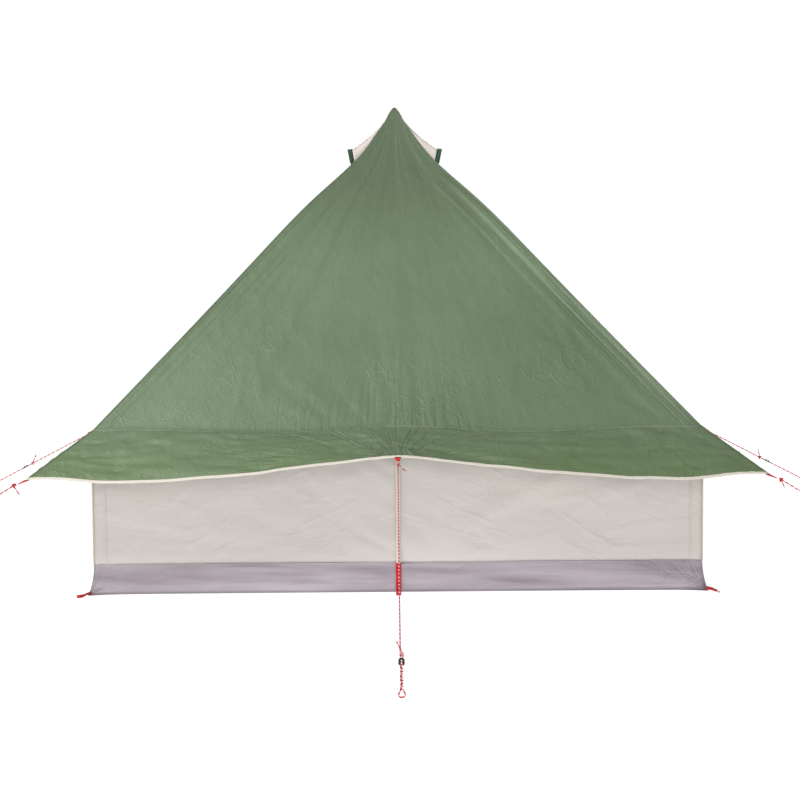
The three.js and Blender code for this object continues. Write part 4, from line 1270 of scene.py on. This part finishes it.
def build_cheek(side, letter, hand, out, z, half, share):
    """The cloth between one edge of the hood and the roof, and the dark band that stiffens its mouth."""
    top = hood_section(out, z, half, hand * 0.985, 0.013 * share + 0.004)
    s_low = np.clip((PEAK_Z - (z - 0.006 - HOOD_DROP * share ** 2)) / (PEAK_Z - SEAM_Z), 0.004, 1)
    foot = fly_at("back", np.clip(hand * (half + 0.004) / roof_half(s_low), -0.97, 0.97), s_low, 0.0022)
    t = np.linspace(0, 1, 10)
    down = t[:, None, None]
    belly = 0.005 * arch(down) * smooth(0.1, 0.5, share)[:, None]
    wave = 0.0018 * noise(share * 9, t[:, None] * 2, 700 + SEEDS[side] + 5 + hand)[..., None] * arch(down)
    shape = top * (1 - down) + foot * down + (belly + wave) * hand * SIDEWAYS
    cheek = sheet(f"hood_cheek_{side}_{letter}",
                  [(turned(shape, SIDES[side]), spread(share * 0.36, t * 0.06))], 0.0007)
    t = np.linspace(-0.12, 1.0, 12)[:, None]
    path = top[-1] * (1 - t) + foot[-1] * t + OUT * 0.013 - UP * 0.002
    lie = turned(np.array([hand * 0.25, -0.75, -0.35]), SIDES[side])
    band = ribbon(f"hood_band_{side}_{letter}", turned(path, SIDES[side]), lie, 0.030, 0.0022, 0.001)
    give(cheek, CHEEK, "tent")
    give(band, GREEN_STRIP, "tent")
    # Each gets a mesh of its own
    anchor = turned(np.array([0.0, -0.25, PEAK_Z - 0.25 * math.tan(FACE_SLOPE)]), SIDES[side])
    for piece in (cheek, band):
        tuple(turned(FACE_OUT, SIDES[side]))
        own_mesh(piece)


def build_window(side):
    """The mesh behind the roof's opening, a little larger than it."""
    s = np.linspace(VENT["top"] - 0.006, VENT["low"] + 0.006, 20)
    u = np.linspace(-VENT["half"] - 0.04, VENT["half"] + 0.04, 30)
    net = fly_at(side, u[None, :], s[:, None], -0.0045)
    mesh = sheet(f"mesh_{side}", [(net, spread(u * 0.2, s * FLY_UV[1]))], 0.0004)
    give(mesh, MESH, "tent", [f"vent_mesh_{side}"])


def build_prop(side):
    """The strip that props the hood."""
    low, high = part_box(f"vent_prop_{side}")
    centre = (low + high) / 2
    z = np.linspace(high.z - 0.001, low.z + 0.001, 14)
    sway = 0.004 * arch(np.linspace(0, 1, 14))[:, None]
    path = np.stack([0 * z + centre.x, 0 * z + centre.y, z], -1) + turned(OUT, SIDES[side]) * sway
    strap = ribbon(f"prop_{side}", path, turned(SIDEWAYS, SIDES[side]), 0.028, 0.0020)
    give(strap, GREEN_STRIP, f"vent_prop_{side}", [f"vent_prop_{side}"])


def build_vents():
    share = np.linspace(0, 1, HOOD_ROWS)
    along = run_along(HOOD_LINE[:, :2])
    out, z, half = (np.interp(share * along[-1], along, HOOD_LINE[:, k]) for k in range(3))
    for side in ("left", "right"):
        build_hood(side, out, z, half, share)
        for letter, hand in (("a", -1), ("b", 1)):
            build_cheek(side, letter, hand, out, z, half, share)
        build_window(side)
        build_prop(side)


# ---------------------------------------------------------------- red webbing
def peg_strap(side):
    """A strap sewn down the groundsheet's side, with a pointed end past the ground edge."""
    out, sideways = turned(OUT, SIDES[side]), turned(SIDEWAYS, SIDES[side])

    def on_side(height, lift):
        return tub_points(side, 0.0, height) + out * lift

    bend_r, bend_z = 0.009, 0.012
    path = [on_side(h, 0.0042) for h in np.linspace(TUB_Z + 0.004, bend_z, 24)]
    path += [out * (TUB + 0.005 + 0.008 * math.sin(a)) + UP * (bend_z - bend_r * (1 - math.cos(a)))
             for a in np.linspace(0.3, math.pi / 2, 5)]
    path += [out * (TUB + 0.013 + d) + UP * (0.0030 + 0.001 * math.sin(d * 80))
             for d in np.linspace(0.004, 0.080, 14)]
    widths = np.full(len(path), WEB)
    widths[-4:] *= (1.0, 0.86, 0.55, 0.16)
    strap = ribbon(f"strap_{side}", path, sideways, widths, WEB_THICK)
    give(strap, RED, "tent", [f"peg_strap_{side}"])
    # A second layer at the foot, sewn on to make the eye
    low = [on_side(h, 0.0066) for h in np.linspace(0.050, 0.020, 8)]
    give(ribbon(f"strap_fold_{side}", low, sideways, WEB * 0.98, WEB_THICK), RED, "tent")
    for k, h in enumerate((0.046, 0.024)):
        stitches = [on_side(h, 0.0080) + sideways * t for t in np.linspace(-WEB * 0.42, WEB * 0.42, 8)]
        row = ribbon(f"strap_stitch_{side}_{k}", stitches, UP, 0.0016, 0.0008)
        give(row, RED_THREAD, "tent")


def corner_loop(name, direction, across):
    """A twisted loop of webbing at a corner of the groundsheet."""
    root = direction * (TUB * math.sqrt(2) + 0.018) + UP * 0.005
    d = np.linspace(0, 0.082, 20)[:, None]
    path = root + direction * d + UP * 0.004 * np.sin(d * 60)
    twist = np.linspace(1.0, -0.5, len(d))[:, None]
    widths = np.interp(d[:, 0], [0, 0.025, 0.060, 0.082], [0.027, 0.019, 0.025, 0.018])
    layers = (("loop", UP * 0.0045, twist, 1.0, WEB_THICK, [f"peg_loop_{name}"]),
              ("loop_under", across * 0.003 - UP * 0.0012, twist * 0.4 - 0.2, 0.8, 0.0016, []))
    for kind, move, turn, share, thickness, nodes in layers:
        lie = across * np.cos(turn) + UP * np.sin(turn)
        layer = ribbon(f"{kind}_{name}", path + move, lie, widths * share, thickness)
        give(layer, RED, "tent", nodes)
    tack = [root + direction * k + across * 0.004 + UP * 0.0072 for k in (0.058, 0.063, 0.068)]
    give(ribbon(f"loop_tack_{name}", tack, across, 0.007, 0.0012), BLUE, "tent")


def hem_tab(name, root, direction, across, drop, node):
    """A small tapered tab at the hem, for the guyline's knot."""
    length = 0.040
    d = np.linspace(-0.012, length, 14)[:, None]
    path = root + direction * d - UP * drop * d / length
    widths = np.interp(np.linspace(0, 1, 14), [0, 0.25, 0.75, 1], [0.034, 0.030, 0.015, 0.011])
    tab = ribbon(f"tab_{name}", path, across, widths, 0.0020, -0.0006)
    give(tab, RED, "tent", [node])
    row = ribbon(f"tab_stitch_{name}", path[2:4] + UP * 0.0018, across, widths[2:4] * 0.8, STRIP)
    give(row, RED_THREAD, "tent")


def build_webbing():
    for side in PLAIN_SIDES:
        peg_strap(side)
        out = turned(OUT, SIDES[side])
        root = out * (EAVE + 0.002) + UP * (HEM_MID_Z - 0.002)
        hem_tab(f"hem_{side}", root, out, turned(SIDEWAYS, SIDES[side]), 0.018, f"hem_tab_{side}")
    for name, (sx, sy) in CORNERS.items():
        out = np.array([sx, sy, 0.0]) / math.sqrt(2)
        across = np.array([-out[1], out[0], 0.0])
        corner_loop(name, out, across)
        root = np.array([sx * EAVE, sy * EAVE, CORNER_Z - 0.001])
        hem_tab(f"corner_{name}", root, out, across, 0.012, f"fly_tab_{name}")


def finish_hard_parts():
    """The poles and their fittings keep their CAD shapes."""
    steel = ("pole_lower", "pole_middle", "pole_upper", "door_pole_left", "door_pole_right")
    plastic = ("pole_foot", "pole_tip", "door_pole_elbow")
    for nodes, material in ((steel, STEEL), (plastic, PLASTIC)):
        for node in nodes:
            bpy.data.objects[node].material_slots[0].material = material


# ---------------------------------------------------------------- floor and light
LAMPS = {                                           # place, size in metres, power in watts
    "key": ((-5.0, -5.0, 7.4), 2.2, 620.0),
    "front": ((-3.0, -16.0, 3.0), 6.0, 420.0),
    "back": ((2.0, 8.0, 6.0), 5.0, 260.0),
}


def build_floor():
    """A pale floor that glows a little, so that it meets the horizon without a line."""
    bpy.ops.mesh.primitive_plane_add(size=400, location=(0, 0, -0.0015))
    floor = bpy.context.object
    floor.name = "studio_floor"
    n = Nodes("studio_floor")
    colour = n.mix(n.noise(n.world, 3.0), (0.28, 0.28, 0.28), (0.31, 0.31, 0.31))
    n.put(n.shader.inputs["Emission Color"], (1.0, 1.0, 1.0, 1.0))
    n.put(n.shader.inputs["Emission Strength"], 0.93)
    floor.data.materials.append(n.finish(colour, 0.9, specular=0.1))


def build_light():
    """White at the horizon and dimmer overhead, so that the lamps give the cloth its shape."""
    world = bpy.data.worlds.new("studio")
    bpy.context.scene.world = world
    world.use_nodes = True
    tree = world.node_tree
    background = tree.nodes["Background"]
    coords = tree.nodes.new("ShaderNodeTexCoord")
    axes = tree.nodes.new("ShaderNodeSeparateXYZ")
    fade = tree.nodes.new("ShaderNodeMapRange")
    tree.links.new(coords.outputs["Generated"], axes.inputs[0])
    tree.links.new(axes.outputs[2], fade.inputs["Value"])
    tree.links.new(fade.outputs[0], background.inputs["Strength"])
    for key, value in (("From Min", 0.30), ("From Max", 0.46), ("To Min", 1.02), ("To Max", 0.16)):
        fade.inputs[key].default_value = value
    background.inputs[0].default_value = (1.0, 1.0, 1.0, 1.0)
    aim = Vector((0, 0, 1.0))
    for name, (place, size, power) in LAMPS.items():
        data = bpy.data.lights.new(name, "AREA")
        data.size = size
        data.energy = power
        lamp = bpy.data.objects.new(name, data)
        bpy.context.scene.collection.objects.link(lamp)
        lamp.location = place
        lamp.rotation_euler = (aim - Vector(place)).to_track_quat("-Z", "Y").to_euler()


build_fly()
build_walls()
build_front_walls()
build_groundsheet()
build_door()
build_zip_slider()
build_vents()
build_webbing()
finish_hard_parts()
build_floor()
build_light()
bpy.context.scene.view_settings.view_transform = "Standard"
